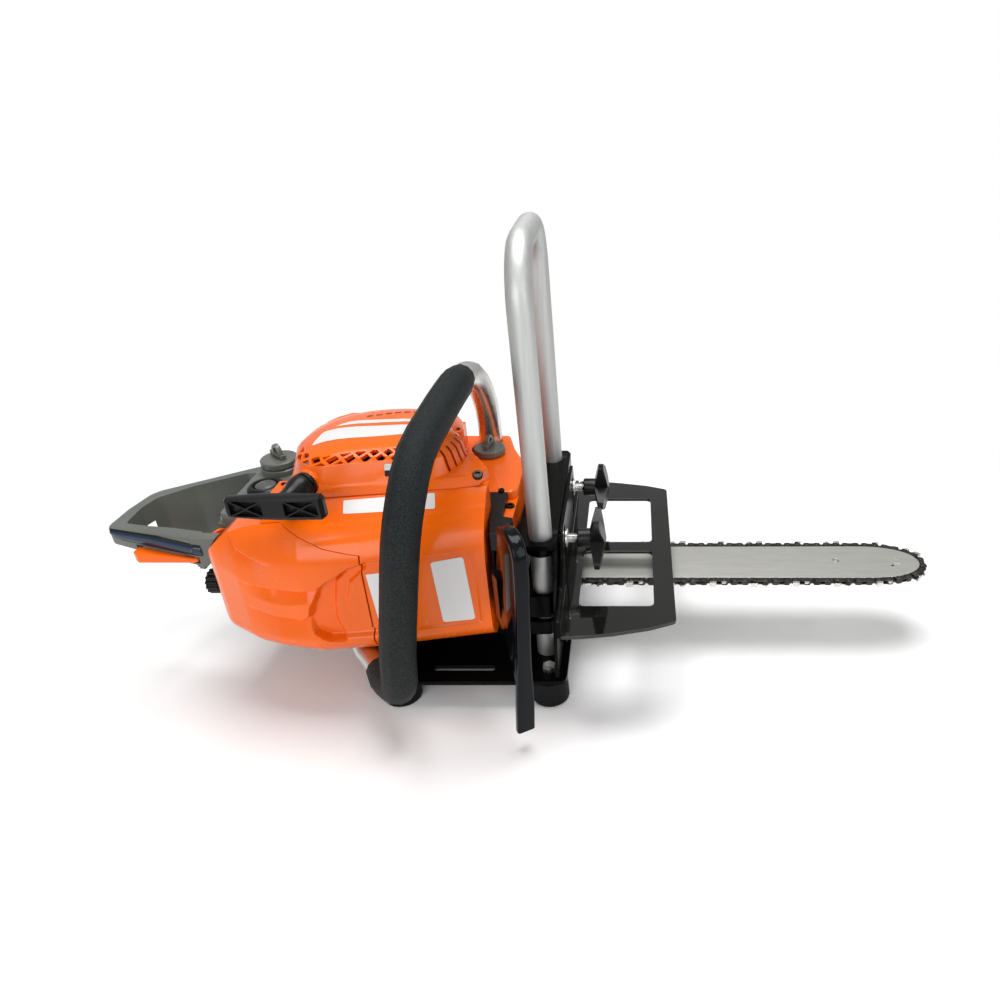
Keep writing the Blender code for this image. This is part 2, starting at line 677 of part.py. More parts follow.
def cover_lattice(bm):
    """Holes between two crossing families of ribs, trimmed to a band round the starter side."""
    for i in range(-3, 12):
        for j in range(-4, 12):
            mid = (LATTICE_UP[0] * i + LATTICE_DOWN[0] * j, LATTICE_UP[1] * i + LATTICE_DOWN[1] * j + 2.0)
            cell = []
            for a, b in ((-1, -1), (1, -1), (1, 1), (-1, 1)):
                cell.append((mid[0] + LATTICE_OPEN * (a * LATTICE_UP[0] + b * LATTICE_DOWN[0]) / 2,
                             mid[1] + LATTICE_OPEN * (a * LATTICE_UP[1] + b * LATTICE_DOWN[1]) / 2))
            angle = LATTICE_START + mid[0] / 76.0
            if not LATTICE_START < angle < LATTICE_END:
                continue
            cell = clipped(cell, 0.0, 7.5 + 0.035 * mid[0])
            if len(cell) < 3 or polygon_area(cell) < 5.0:
                continue
            out = dome_point(angle, mid[1])[1]
            corners = [dome_point(LATTICE_START + a / 76.0, b)[0] for a, b in cell]
            wall_cutter(bm, corners, out, 5.0)


def cover_slots():
    bm = bmesh.new()
    z_axis = Vector((0, 0, 1))
    cover_lattice(bm)
    for degrees in range(40, 141, 11):
        angle = math.radians(degrees)
        half = math.radians(2.6)
        corners = [dome_point(angle + a * half, b)[0] for a, b in ((-1, 7), (1, 7), (1, 11), (-1, 11))]
        wall_cutter(bm, corners, dome_point(angle, 9)[1], 7.0)
    for k in range(5):
        angle = math.radians(-41 + 6.6 * k)
        radial = Vector((math.cos(angle), math.sin(angle), 0))
        along = z_axis.cross(radial).normalized()
        centre = Vector((CRANK_X, CRANK_Y, 207.5)) + radial * (wall_radius(angle) - 3.0)
        out = (radial + z_axis * 0.35).normalized()
        corners = []
        for a, b in ((1.2, -8.5), (-1.2, -8.5), (-1.2, 8.5), (1.2, 8.5)):
            corners.append(centre + along * (a - b * 0.1) + (z_axis - radial * 0.35) * b)
        wall_cutter(bm, corners, out, 6.5)
    return bm


def build_fan():
    """Flywheel fan and chain sprocket on the crankshaft's axis."""
    centre = (CRANK_X, CRANK_Y, 0)
    disc = lathe([(0, 191), (39, 191), (39, 194), (15, 195), (13, 204), (0, 204)], centre, sides=24)
    blades = bmesh.new()
    for i in range(12):
        angle = 2 * math.pi * i / 12
        radial = Vector((math.cos(angle), math.sin(angle), 0))
        swept_dir = Vector((math.cos(angle + 0.5), math.sin(angle + 0.5), 0))
        across = Vector((-swept_dir.y, swept_dir.x, 0))
        start = Vector(centre) + radial * 20
        corners = [start - across * 1.2, start + swept_dir * 20 - across * 1.2,
                   start + swept_dir * 20 + across * 1.2, start + across * 1.2]
        low = [blades.verts.new(c + Vector((0, 0, 193))) for c in corners]
        high = [blades.verts.new(c + Vector((0, 0, 207))) for c in corners]
        bridge(blades, low, high)
        blades.faces.new(list(reversed(low)))
        blades.faces.new(high)
    finish(joined(disc, blades), "fan_wheel", STEEL, origin=(CRANK_X, CRANK_Y, 191))
    teeth = []
    for i in range(28):
        angle = 2 * math.pi * i / 28
        radius = (15.0, 17.4, 17.4, 15.0)[i % 4]
        teeth.append((CRANK_X + radius * math.cos(angle), CRANK_Y + radius * math.sin(angle)))
    low = BAR_Z - 3.0
    finish(prism(teeth, low, low + 6.0), "drive_sprocket", STEEL, origin=(CRANK_X, CRANK_Y, low))


def shroud_top(x):
    """How far the shroud stands towards -Y at a station along the saw."""
    stations = [(-346, 80), (-338, 89), (-326, 99), (-305, 110), (-280, 118), (-250, 123), (-206, 118),
                (-177, 112), (-140, 105), (-113, 100)]
    if x <= stations[0][0]:
        return stations[0][1]
    for (x0, y0), (x1, y1) in zip(stations, stations[1:]):
        if x <= x1:
            return y0 + (y1 - y0) * (x - x0) / (x1 - x0)
    return stations[-1][1]


def seam_edge(x):
    """Where the starter cover's near edge meets the shroud."""
    return max(65.0, min(89.0, 83.5 - 0.155 * (x + 225)))


def level_at(line, x):
    """Height of a crease, given as (x, z) points from the rear to the front."""
    if x <= line[0][0]:
        return line[0][1]
    for (x0, z0), (x1, z1) in zip(line, line[1:]):
        if x <= x1:
            return z0 + (z1 - z0) * (x - x0) / (x1 - x0)
    return line[-1][1]


def ease(value):
    """0 below 0, 1 above 1 and a smooth run between."""
    value = max(0.0, min(1.0, value))
    return value * value * (3 - 2 * value)


SHROUD_CREASE = [(-240, 128), (-227, 138), (-216, 145), (-204, 150), (-191, 153.5), (-163, 157.5), (-113, 160)]
REAR_CREASE = [(-309, 166), (-301, 157.5), (-287, 151), (-272, 150)]
LIP = [(-312, 136.5), (-292, 131), (-262, 131.5), (-240, 129)]
GILL_VALLEY = [(-303, 124), (-288, 116.5), (-266, 114.5), (-247, 117.5)]
GILL_RIDGE = [(-302, 122), (-287, 110), (-274, 104.5), (-257, 101), (-247, 105)]
BULGE_EDGE = [(75, -238), (87, -250), (102, -251), (114, -247.5), (128, -240.5)]
FILTER_TOP = [(-340, 127), (-335, 141), (-329, 150), (-318, 160), (-308, 169), (-295, 173.5), (-280, 176.5),
              (-266, 177.5), (-250, 169.7), (-232, 161.5), (-213, 156.7), (-205, 155.2)]
GILL_DEPTH, SCOOP_DEPTH, PANEL_DEPTH = 5.0, 7.0, 1.8
PANEL_CENTRE, PANEL_R, PANEL_X, PANEL_Z = (-195.0, 115.0), 27.0, -123.0, (82.0, 152.0)


def shroud_relief(x, z):
    """How far the shroud's face is sunk at a point: scoop, gills, label panel and creases."""
    depth = 0.0
    valley, lip, ridge = level_at(GILL_VALLEY, x), level_at(LIP, x), level_at(GILL_RIDGE, x)
    rear = level_at(REAR_CREASE, x)
    bulge = ease((x + 304) / 50)
    if valley <= z < lip:
        depth += GILL_DEPTH * bulge * (lip - z) / (lip - valley)
    elif ridge <= z < valley:
        depth += GILL_DEPTH * bulge * (z - ridge) / (valley - ridge)
    if lip < z < rear and x < -262:
        share = (z - lip) / (rear - lip)
        depth += 14.0 * share * (1 - share) * ease((-262 - x) / 30) * ease((x + 326) / 14)
    edge = level_at(BULGE_EDGE, z)
    inside = ease((x - edge) / 16)
    below = ease((level_at(SHROUD_CREASE, x) - z) / 4.0)
    if x > -241:
        depth = depth * (1 - inside) + 2.6 * below * (1 - ease((level_at(SHROUD_CREASE, x) - z - 6) / 24)) * inside
    else:
        depth *= 1 - inside
    depth += SCOOP_DEPTH * inside * below * (1 - ease((x + 222) / 34)) * ease((z - 68) / 14)
    across = abs(x - PANEL_CENTRE[0])
    if x < PANEL_CENTRE[0]:
        gap = PANEL_R - math.hypot(across, z - PANEL_CENTRE[1])
    else:
        high = PANEL_Z[1] - 10.0 * (1 - ease(across / 30))
        low = PANEL_Z[0] + 6.0 * (1 - ease(across / 30))
        gap = min(high - z, z - low, PANEL_X - x)
    return depth + PANEL_DEPTH * ease(gap / 2.5)


def shroud_section(x, z_low, z_high, z_bottom=60.0, z_top=189.2):
    """Cross-section of the shroud: rounded on the starter side and at the lower edge."""
    top = shroud_top(x)
    ring = []
    for k in range(SHROUD_STEPS + 1):
        z = z_low + (z_high - z_low) * (k / SHROUD_STEPS)
        drop = shroud_relief(x, z)
        if z > 138:
            drop += (top - seam_edge(x)) * min(1.0, (z - 138) / (z_top - 138)) ** 2.3
        if z < 82:
            drop += 15.0 * min(1.0, (82 - z) / (82 - z_bottom)) ** 2.0
        ring.append((x, -(top - drop), z))
    ring.append((x, SHROUD_INNER_Y, z_high))
    ring.append((x, SHROUD_INNER_Y, z_low))
    return ring


def build_shrouds():
    sections = []
    for x in (SHROUD_FRONT_X, -118, -122, -125.5, -150, -177, -195, SHROUD_SEAM_X + 0.4):
        sections.append(shroud_section(x, 60.0, 189.2))
    for x in (SHROUD_SEAM_X - 0.1, -213, -232, -250, -266, SHROUD_REAR_X):
        sections.append(shroud_section(x, level_at(FILTER_TOP, x) + 0.5, 189.2))
    finish(loft(sections), "top_cover", ORANGE, smooth=30)
    sections = []
    for x in (SHROUD_SEAM_X - 0.6, -213, -220, -226, -232, -241, -250, -258, -266, -280, -295, -308, -318, -329):
        low = 60.0 + max(0.0, -300 - x) * 0.25
        sections.append(shroud_section(x, low, level_at(FILTER_TOP, x), z_bottom=low))
    for x, grow in ((-335, 5), (-340, 13)):
        ring = shroud_section(x, 67.0 + grow, level_at(FILTER_TOP, x), z_bottom=67.0 + grow)
        sections.append([(px, min(py + grow * 0.6, SHROUD_INNER_Y - 0.001), pz) for px, py, pz in ring])
    finish(loft(sections), "filter_cover", ORANGE, smooth=30)
    knob = prism(ribbed(10.5, 9.4, 14), -350, -340.4, axis="x")
    origin = (-340.4, -73, 104)
    for vert in knob.verts:
        vert.co += Vector((0, origin[1], origin[2]))
    finish(knob, "filter_knob", BLACK, origin=origin)


def ribbed(outer, inner, ribs):
    points = []
    for i in range(ribs * 4):
        angle = 2 * math.pi * i / (ribs * 4)
        radius = outer if i % 4 < 2 else inner
        points.append((radius * math.cos(angle), radius * math.sin(angle)))
    return points


LOCKOUT_WELL = [(-404.5, -90), (-404.5, -63.2), (-349, -74.6), (-349, -90)]
LOCKOUT = [(-402.5, -69.0), (-402.8, -77), (-399, -80), (-354, -82.0), (-350.2, -80.5), (-350.2, -78.5)]
TRIGGER_WELL = [(-352, -70.5), (-352, -47), (-321, -47), (-321, -58), (-340.8, -58), (-340.8, -70.5)]
TRIGGER = [(-325.5, -53.5), (-325.5, -50), (-334, -49.5), (-341, -52.5), (-344.8, -63.5), (-343.6, -64.2),
           (-338.5, -56.2), (-332, -54.2)]


def tilted(outline, low, high, x_from, slopes):
    """Prism whose two faces rise or fall along X from where they start."""
    bm = prism(outline, low, high)
    middle = (low + high) / 2
    for vert in bm.verts:
        slope = slopes[0] if vert.co.z < middle else slopes[1]
        vert.co.z += (vert.co.x - x_from) * slope
    return bm


def build_rear_handle():
    """Fuel tank with the rear handle loop, thinner towards its end, and the wide guard under the far bar."""
    tank = prism(rounded([(-340, -57), (-270, -57), (-270, 60), (-340, 60)], 8), 74, 158)
    loop = rounded([(-300, -56), (-346.4, -56), (-346.4, -81), (-385, -73.5), (-427, -63), (-428.6, -58), (-428, -33),
                    (-423.5, -7), (-418, 1), (-396, 15.8), (-360, 41.4), (-334, 58.5), (-300, 58.5)], 3)
    opening = rounded([(-340.8, -70.5), (-376, -62.9), (-398, -60), (-416, -56), (-417.5, -30), (-413, -13),
                       (-392, 8), (-355, 33), (-340.8, 33)], 3)
    frame = tilted(loop, 121.6, 149, -342, (-0.134, 0.0))
    guard = prism([(-423, -8), (-418, 0.6), (-396, 15.4), (-360, 41), (-335, 57), (-335, 42), (-356, 32.4),
                   (-392, 7.4), (-413, -13.6), (-416, -22)], 98, 140)
    window = prism([(-440, 80), (-403, 80), (-405.5, 100), (-409.5, 112), (-415, 122), (-422, 130), (-440, 134)], -60,
                   60, axis="y")
    root = prism([(-352, 122.8), (-344.4, 122.8), (-342, 128.4), (-336.9, 142.4), (-332.2, 149), (-352, 149)], -80.6,
                 -71, axis="y")
    web = prism([(-352, -79), (-347, -80), (-347, -55), (-336, -55), (-336, -40), (-352, -40)], 120, 128)
    filler = lathe([(0, 150), (16.4, 150), (16.4, FUEL_CAP[2] - 1.2), (15.4, FUEL_CAP[2] - 0.3),
                    (0, FUEL_CAP[2] - 0.3)], (FUEL_CAP[0], FUEL_CAP[1], 0), sides=28)
    frame = cut(joined(soften(frame, 3), cut(guard, window)), prism(opening, 90, 170))
    body = joined(soften(tank, 4), frame, root, web, filler)
    x, y, z = PRIMER
    well = prism(circle(x, y, 10.7, 24), z - 5, z + 5)
    lockout_well = tilted(LOCKOUT_WELL, 124.4, 136.4, -402.5, (0.03, -0.09))
    body = cut(body, lockout_well, prism(TRIGGER_WELL, 130, 145), well)
    finish(body, "rear_handle", GREY, smooth=35)


def build_throttle():
    wedge = tilted(LOCKOUT, 125.4, 135.4, -402.5, (0.03, -0.09))
    finish(soften(wedge, 1.0, 1, 60), "throttle_lockout", ORANGE, origin=(-352, -79.5, 129))
    finish(soften(prism(TRIGGER, 134.3, 144), 0.6, 1, 60), "throttle_trigger", ORANGE, origin=(-327.5, -51.8, 137.5))


def build_cap(name, spot, radius, height, turn):
    """Filler cap with two ears and the flip loop that hangs between them."""
    x, y, z = spot
    top = z + height
    body = lathe([(0, z), (radius - 1.5, z), (radius, z + 1.2), (radius, top - 1), (radius - 1, top), (0, top)],
                 (0, 0, 0), sides=24)
    reach = radius * 0.5
    ears = [box(side * (reach + 1.5) - 1.1, side * (reach + 1.5) + 1.1, -2.0, 2.0, top - 2, top + 5.0)
            for side in (-1, 1)]
    base = top + CAP_PIVOT_RISE - 1.8
    arch = []
    for degrees in range(0, 181, 20):
        angle = math.radians(degrees)
        arch.append((reach * math.cos(angle), base + reach * 1.5 * math.sin(angle)))
    hole = [(a * 0.5, base + 3.8 + (b - base) * 0.42) for a, b in arch]
    loop = prism(arch, -1.8, 1.8, axis="y", holes=[hole])
    place = Matrix.Translation((x, y, 0)) @ Matrix.Rotation(math.radians(turn), 4, "Z")
    body = joined(body, *ears)
    for part in (body, loop):
        bmesh.ops.transform(part, matrix=place, verts=part.verts)
    finish(body, name, GREY, origin=(x, y, z))
    finish(loop, name + "_loop", GREY, origin=(x, y, top + CAP_PIVOT_RISE))


def build_primer():
    x, y, z = PRIMER
    ring = [(10.6, z), (15, z), (15, z + 2), (13.6, z + 3.4), (10.6, z + 3.4)]
    finish(lathe(ring, (x, y, 0), sides=20, closed=True), "primer_ring", BLACK)
    dome = [(0, z + 1.5), (10.2, z + 1.5), (10.2, z + 3.5), (9.2, z + 5.6), (6.6, z + 7.2), (3.2, z + 8), (0, z + 8.3)]
    finish(lathe(dome, (x, y, 0), sides=20), "primer_bulb", GREY, origin=(x, y, z + 1.5))


def build_starter_grip():
    """T grip with a ribbed pocket and its neck, a short rope and the eyelet in the cover."""
    place = rope_frame()
    centre = ROPE_EXIT + GRIP_DIR * 27.0 + Vector((-2.4, 0.0, -2.4))
    bar = []
    for a, depth, half in ((-36, 2.0, 6.0), (-33.8, 4.2, 7.8), (-12, 5.2, 9.2), (12, 5.2, 9.6),
                           (33.4, 4.6, 9.6), (36, 2.4, 7.8)):
        ring = rounded([(-depth, -half), (depth, -half), (depth, half), (-depth, half)], 3, 2)
        bar.append([centre + Vector((a, -b, c)) for b, c in ring])
    neck = lathe([(0, -0.9), (8.6, -0.9), (9.8, 0.6), (9.8, 4), (9.0, 8), (7.2, 12), (6.0, 17), (5.8, 26), (0, 26)], (0, 0, 0),
                 axis="y", sides=20)
    bmesh.ops.transform(neck, matrix=place, verts=neck.verts)
    pockets = bmesh.new()
    for side in (-1, 1):
        mid = side * 19.8
        cells = [[(mid - 10.6, 6.2), (mid + 10.6, 6.2), (mid, 0.7)],
                 [(mid + 10.6, -6.2), (mid - 10.6, -6.2), (mid, -0.7)],
                 [(mid - 11.8, -5.6), (mid - 11.8, 5.6), (mid - 1.1, 0.0)],
                 [(mid + 11.8, 5.6), (mid + 11.8, -5.6), (mid + 1.1, 0.0)]]
        for cell in cells:
            low = [pockets.verts.new(centre + Vector((p, -0.6, q))) for p, q in cell]
            high = [pockets.verts.new(centre + Vector((p, -14, q))) for p, q in cell]
            bridge(pockets, low, high)
            pockets.faces.new(list(reversed(low)))
            pockets.faces.new(high)
    finish(cut(joined(loft(bar), neck), pockets), "starter_grip", BLACK, origin=tuple(centre))
    rope = lathe([(0, -12), (1.8, -12), (1.8, -1.3), (0, -1.3)], (0, 0, 0), axis="y", sides=10)
    bmesh.ops.transform(rope, matrix=place, verts=rope.verts)
    finish(rope, "starter_rope", BLACK, origin=tuple(ROPE_EXIT))
    eyelet = lathe([(2.3, -4.6), (8.6, -4.6), (9.4, -3.8), (9.4, -2.0), (8.6, -1.3), (2.3, -1.3)], (0, 0, 0),
                   axis="y", sides=20, closed=True)
    bmesh.ops.transform(eyelet, matrix=place, verts=eyelet.verts)
    finish(eyelet, "rope_eyelet", BLACK)


def build_front_handle():
    """Bent tube from under the saw round its top and over the starter side, with foam on most of it."""
    points = [(-224, -55.5, 48), (-229, -72, 48), (-227, -92, 48), (-214, -108, 48), (-200, -127, 49),
              (-186, -144, 53), (-179, -152, 65), (-175, -156, 95), (-166, -156, 150), (-159, -154, 192),
              (-153, -146, 222), (-150, -120, 243), (-146, -80, 251), (-142, -40, 256), (-139, -10, 257),
              (-136, 14, 251), (-134, 34, 232), (-133, 48, 207), (-134, 57, 184), (-134, 58, 172.2)]
    path = smooth_path(points, 2)
    frames = path_frames(path)
    finish(swept(path, HANDLE_R, 12), "front_handle", STEEL)
    foam = sleeve(path, frames, 7, 28, FOAM_R, HANDLE_R + 0.3, 12)
    finish(foam, "foam_grip", BLACK)


def build_hand_guard():
    """Leaning plate with a thick rim, a pivot barrel and the link between them."""
    lean = Vector((22, -40, 0)).normalized()
    normal = Vector((lean.y, -lean.x, 0))
    root = Vector((-106.5, -118.0, 0))
    outline = rounded([(0, 96), (22, 80), (35, 56), (38, 28), (44, 28), (45, 60), (45, 150), (40, 189), (24, 194),
                       (4, 185), (-2, 150), (-2, 110)], 6)
    rings = []
    for offset, shrink in ((-3.2, 1.2), (-2.4, 0), (2.4, 0), (3.2, 1.2)):
        ring = []
        for w, z in outline:
            w2 = w + (20 - w) * shrink / 40
            z2 = z + (104 - z) * shrink / 100
            ring.append(root + lean * w2 + normal * offset + Vector((0, 0, z2)))
        rings.append(ring)
    plate = loft(rings)
    rim_path = [root + lean * w + Vector((0, 0, z)) for w, z in
                ((42, 20), (42.5, 45), (42.5, 80), (42.5, 135), (41.5, 166), (37, 184), (24, 190), (8, 185))]
    rim = bmesh.new()
    rim_path = smooth_path(rim_path, 2)
    sections = []
    for i, here in enumerate(rim_path):
        run = (rim_path[min(i + 1, len(rim_path) - 1)] - rim_path[max(i - 1, 0)]).normalized()
        inward = normal.cross(run).normalized()
        half = 7.2 - 2.0 * ease((here.z - 40) / 60)
        section = rounded([(-half, -3.4), (half, -3.4), (half, 3.4), (-half, 3.4)], 1.4, 2)
        sections.append([rim.verts.new(here + normal * a + inward * b) for a, b in section])
    for lower, upper in zip(sections, sections[1:]):
        bridge(rim, lower, upper)
    rim.faces.new(list(reversed(sections[0])))
    rim.faces.new(sections[-1])
    for vert in [*plate.verts, *rim.verts]:
        vert.co.x += GUARD_LEAN * (vert.co.z - 20.0)
    pivot = lathe([(0, 90.5), (6, 90.5), (6, 145.5), (0, 145.5)], (*GUARD_PIVOT, 0), sides=20)
    link = prism([(-108.5, -84), (-98, -84), (-97, -116), (-103.5, -122.5), (-108.5, -114)], 100, 140)
    finish(joined(plate, rim, pivot, link), "hand_guard", BLACK, origin=(*GUARD_PIVOT, 118), smooth=40)


def build_exhaust_and_clutch():
    shield = soften(box(-112.4, -109.3, -96, -60, 94, 142), 1.2, 1)
    louvres = [box(-110.6, -105, -90, -66, z, z + 4) for z in (102, 111, 120, 129)]
    finish(cut(shield, *louvres), "muffler_shield", BLACK)
    outline = rounded([(-241, -44), (-230, -52), (-100, -52), (-98, 50), (-110, 56), (-232, 56), (-241, 44)], 6)
    cover = prism(outline, 28.6, 77.2)
    tunnel = prism([(-234, -39), (-60, -39), (-60, 39), (-234, 39)], 66, 90)
    pockets = [prism(circle(x, 0, 11, 20), 20, 40) for x in (-130, -165)]
    finish(cut(soften(cover, 3), tunnel, *pockets), "clutch_cover", BLACK)
    for x, name in ((-130, "front"), (-165, "rear")):
        finish(prism(circle(x, 0, 8, 6), 31, 39.7), "bar_nut_" + name, STEEL)


def main():
    clear_scene()
    build_base()
    build_push_handle()
    build_upright()
    build_bar_clamp()
    build_bracket()
    build_guide_plate()
    build_clamps()
    build_bar()
    build_chain()
    build_crankcase()
    build_starter_cover()
    build_fan()
    build_shrouds()
    build_rear_handle()
    build_throttle()
    build_cap("fuel_cap", FUEL_CAP, 16.0, 6.5, -40)
    build_cap("oil_cap", OIL_CAP, 14.0, 6.5, 80)
    build_primer()
    build_starter_grip()
    build_front_handle()
    build_hand_guard()
    build_exhaust_and_clutch()


main()
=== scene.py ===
"""The looks of the chainsaw mill: surfaces, fine fittings, camera and light round the model."""

import math

import bmesh
import bpy
from mathutils import Matrix, Vector
from mathutils.bvhtree import BVHTree


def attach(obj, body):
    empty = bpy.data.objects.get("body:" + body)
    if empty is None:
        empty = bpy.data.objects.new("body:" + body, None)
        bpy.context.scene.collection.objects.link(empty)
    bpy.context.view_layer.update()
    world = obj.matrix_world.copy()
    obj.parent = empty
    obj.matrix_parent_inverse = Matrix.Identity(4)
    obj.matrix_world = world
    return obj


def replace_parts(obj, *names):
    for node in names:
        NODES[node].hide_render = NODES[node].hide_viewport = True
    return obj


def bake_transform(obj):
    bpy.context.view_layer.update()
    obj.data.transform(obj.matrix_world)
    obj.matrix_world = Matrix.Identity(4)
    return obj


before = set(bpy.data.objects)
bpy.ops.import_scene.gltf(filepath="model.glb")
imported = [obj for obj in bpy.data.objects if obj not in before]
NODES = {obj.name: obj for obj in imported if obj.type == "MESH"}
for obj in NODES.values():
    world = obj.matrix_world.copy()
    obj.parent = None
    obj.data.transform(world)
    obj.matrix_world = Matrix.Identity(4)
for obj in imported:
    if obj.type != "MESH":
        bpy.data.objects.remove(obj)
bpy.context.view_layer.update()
ROOT = "mill_and_saw"
MM = 0.001

# The frame's origin lies under the middle of the object, this far from the camera's own axes.
# Places below are in working millimetres: X along the bar, Y away from the camera, Z up.
SHIFT = Vector((79.07, 20.645, 0.0))
UP, DOWN, AWAY = (0, 0, 1), (0, 0, -1), (0, 1, 0)


def at(x, y, z):
    """A point given in working millimetres, in the frame's metres."""
    return (Vector((x, y, z)) + SHIFT) * MM


# Surfaces
COAT_ROUGHNESS = 0.08
BRAID_TURNS, BRAID_ROUGHNESS, BRAID_RELIEF = (0.6, 0.8), (0.9, 0.7), (0.6, 0.0004)


def graph(name):
    """A new node material with its shader and an object-space coordinate node."""
    mat = bpy.data.materials.new(name)
    mat.use_nodes = True
    tree = mat.node_tree
    coords = tree.nodes.new("ShaderNodeTexCoord")
    return mat, tree, tree.nodes["Principled BSDF"], coords.outputs["Object"]


def noise(tree, coords, scale, detail, stretch):
    mapping = tree.nodes.new("ShaderNodeMapping")
    mapping.inputs["Scale"].default_value = stretch
    tree.links.new(coords, mapping.inputs["Vector"])
    tex = tree.nodes.new("ShaderNodeTexNoise")
    tex.inputs["Scale"].default_value = scale
    tex.inputs["Detail"].default_value = detail
    tree.links.new(mapping.outputs["Vector"], tex.inputs["Vector"])
    return tex.outputs["Fac"]


def blend_colour(tree, factor, first, second):
    mix = tree.nodes.new("ShaderNodeMix")
    mix.data_type = "RGBA"
    tree.links.new(factor, mix.inputs["Factor"])
    mix.inputs["A"].default_value = (*first, 1.0)
    mix.inputs["B"].default_value = (*second, 1.0)
    return mix.outputs["Result"]


def remap(tree, value, low, high, start=0.3, end=0.7):
    """Spread a value from start..end, where most noise lies, to low..high."""
    node = tree.nodes.new("ShaderNodeMapRange")
    node.inputs["From Min"].default_value = start
    node.inputs["From Max"].default_value = end
    node.inputs["To Min"].default_value = low
    node.inputs["To Max"].default_value = high
    tree.links.new(value, node.inputs["Value"])
    return node.outputs["Result"]


def bump(tree, shader, height, strength, depth):
    node = tree.nodes.new("ShaderNodeBump")
    node.inputs["Strength"].default_value = strength
    node.inputs["Distance"].default_value = depth
    tree.links.new(height, node.inputs["Height"])
    tree.links.new(node.outputs["Normal"], shader.inputs["Normal"])


def math_node(tree, operation, first, second):
    node = tree.nodes.new("ShaderNodeMath")
    node.operation = operation
    tree.links.new(first, node.inputs[0])
    tree.links.new(second, node.inputs[1])
    return node.outputs[0]


def surface(name, colours, rough, grain, relief, metallic=0.0, coat=0.0, stretch=(1, 1, 1),
            patch=18.0, specular=0.5):
    """Colour drifts in broad patches between two tones; roughness and relief follow finer grain.

    rough is (low, high), grain the finer scale and relief its (strength, depth in metres)."""
    mat, tree, shader, coords = graph(name)
    broad = noise(tree, coords, patch, 2.0, stretch)
    fine = noise(tree, coords, grain, 4.0, stretch)
    tint = blend_colour(tree, remap(tree, broad, 0.0, 1.0), *colours)
    tree.links.new(tint, shader.inputs["Base Color"])
    tree.links.new(remap(tree, fine, *rough), shader.inputs["Roughness"])
    shader.inputs["Metallic"].default_value = metallic
    shader.inputs["Specular IOR Level"].default_value = specular
    shader.inputs["Coat Weight"].default_value = coat
    shader.inputs["Coat Roughness"].default_value = COAT_ROUGHNESS
    bump(tree, shader, fine, *relief)
    return mat


def braided(name, colours, pitch):
    """Woven cover of a rope: two crossed wave bands."""
    mat, tree, shader, coords = graph(name)
    bands = []
    for turn in (-1.0, 1.0):
        mapping = tree.nodes.new("ShaderNodeMapping")
        mapping.inputs["Rotation"].default_value = (0.0, *(angle * turn for angle in BRAID_TURNS))
        tree.links.new(coords, mapping.inputs["Vector"])
        wave = tree.nodes.new("ShaderNodeTexWave")
        wave.inputs["Scale"].default_value = pitch
        tree.links.new(mapping.outputs["Vector"], wave.inputs["Vector"])
        bands.append(wave.outputs["Fac"])
    both = math_node(tree, "MAXIMUM", *bands)
    tree.links.new(blend_colour(tree, both, *colours), shader.inputs["Base Color"])
    tree.links.new(remap(tree, both, *BRAID_ROUGHNESS), shader.inputs["Roughness"])
    bump(tree, shader, both, *BRAID_RELIEF)
    return mat


ORANGE = surface("orange_plastic", ((0.84, 0.120, 0.0015), (0.89, 0.140, 0.0025)),
                 (0.20, 0.28), 420.0, (0.02, 0.0001), coat=0.10, specular=0.3)
GREY = surface("grey_green_plastic", ((0.104, 0.113, 0.100), (0.130, 0.140, 0.124)),
               (0.20, 0.28), 500.0, (0.01, 0.0001), specular=0.4)
BLACK = surface("black_plastic", ((0.0035, 0.0037, 0.004), (0.006, 0.0062, 0.0065)),
                (0.26, 0.38), 1100.0, (0.08, 0.0002), specular=0.22)
GLOSS = surface("glossy_black_plastic", ((0.002, 0.0025, 0.0035), (0.004, 0.005, 0.0065)),
                (0.08, 0.14), 300.0, (0.01, 0.0001), specular=0.13)
POWDER = surface("black_powder_coat", ((0.0015, 0.0015, 0.0015), (0.003, 0.003, 0.003)),
                 (0.20, 0.30), 1500.0, (0.05, 0.0001), specular=0.06)
PLATE_GLOSS = surface("glossy_guide_plate", ((0.006, 0.0058, 0.005), (0.009, 0.0088, 0.008)),
                      (0.05, 0.09), 400.0, (0.004, 0.0001), specular=0.5)
FOAM = surface("handle_foam", ((0.001, 0.0015, 0.0015), (0.021, 0.026, 0.026)),
               (0.42, 0.60), 2000.0, (0.9, 0.0005), specular=0.14, patch=1100.0)
RUBBER = surface("foot_rubber", ((0.003, 0.003, 0.003), (0.006, 0.006, 0.006)),
                 (0.50, 0.68), 700.0, (0.25, 0.0003), specular=0.15)
# Inlay on the rear handle whose dark blue colour is a painted reflection of bluish light on the
# glossy edge.
INLAY_PAINTED_SHEEN = surface("grip_inlay_painted_sheen", ((0.004, 0.018, 0.045), (0.007, 0.026, 0.062)),
               (0.10, 0.16), 500.0, (0.01, 0.0001), specular=0.4)
ALUMINIUM = surface("brushed_aluminium", ((0.50, 0.51, 0.50), (0.56, 0.57, 0.56)),
                    (0.52, 0.60), 60.0, (0.02, 0.0002), metallic=1.0, stretch=(30.0, 12.0, 1.0))
TUBE = surface("bright_tube", ((0.62, 0.62, 0.61), (0.72, 0.72, 0.71)),
               (0.26, 0.34), 120.0, (0.006, 0.0001), metallic=1.0)
ZINC = surface("bright_zinc", ((0.66, 0.66, 0.64), (0.78, 0.78, 0.76)),
               (0.22, 0.34), 300.0, (0.02, 0.0001), metallic=1.0, patch=150.0)
BAR_STEEL = surface("ground_bar_steel", ((0.46, 0.46, 0.425), (0.49, 0.49, 0.455)),
                    (0.46, 0.54), 60.0, (0.02, 0.0001), metallic=1.0, stretch=(1.0, 14.0, 14.0))
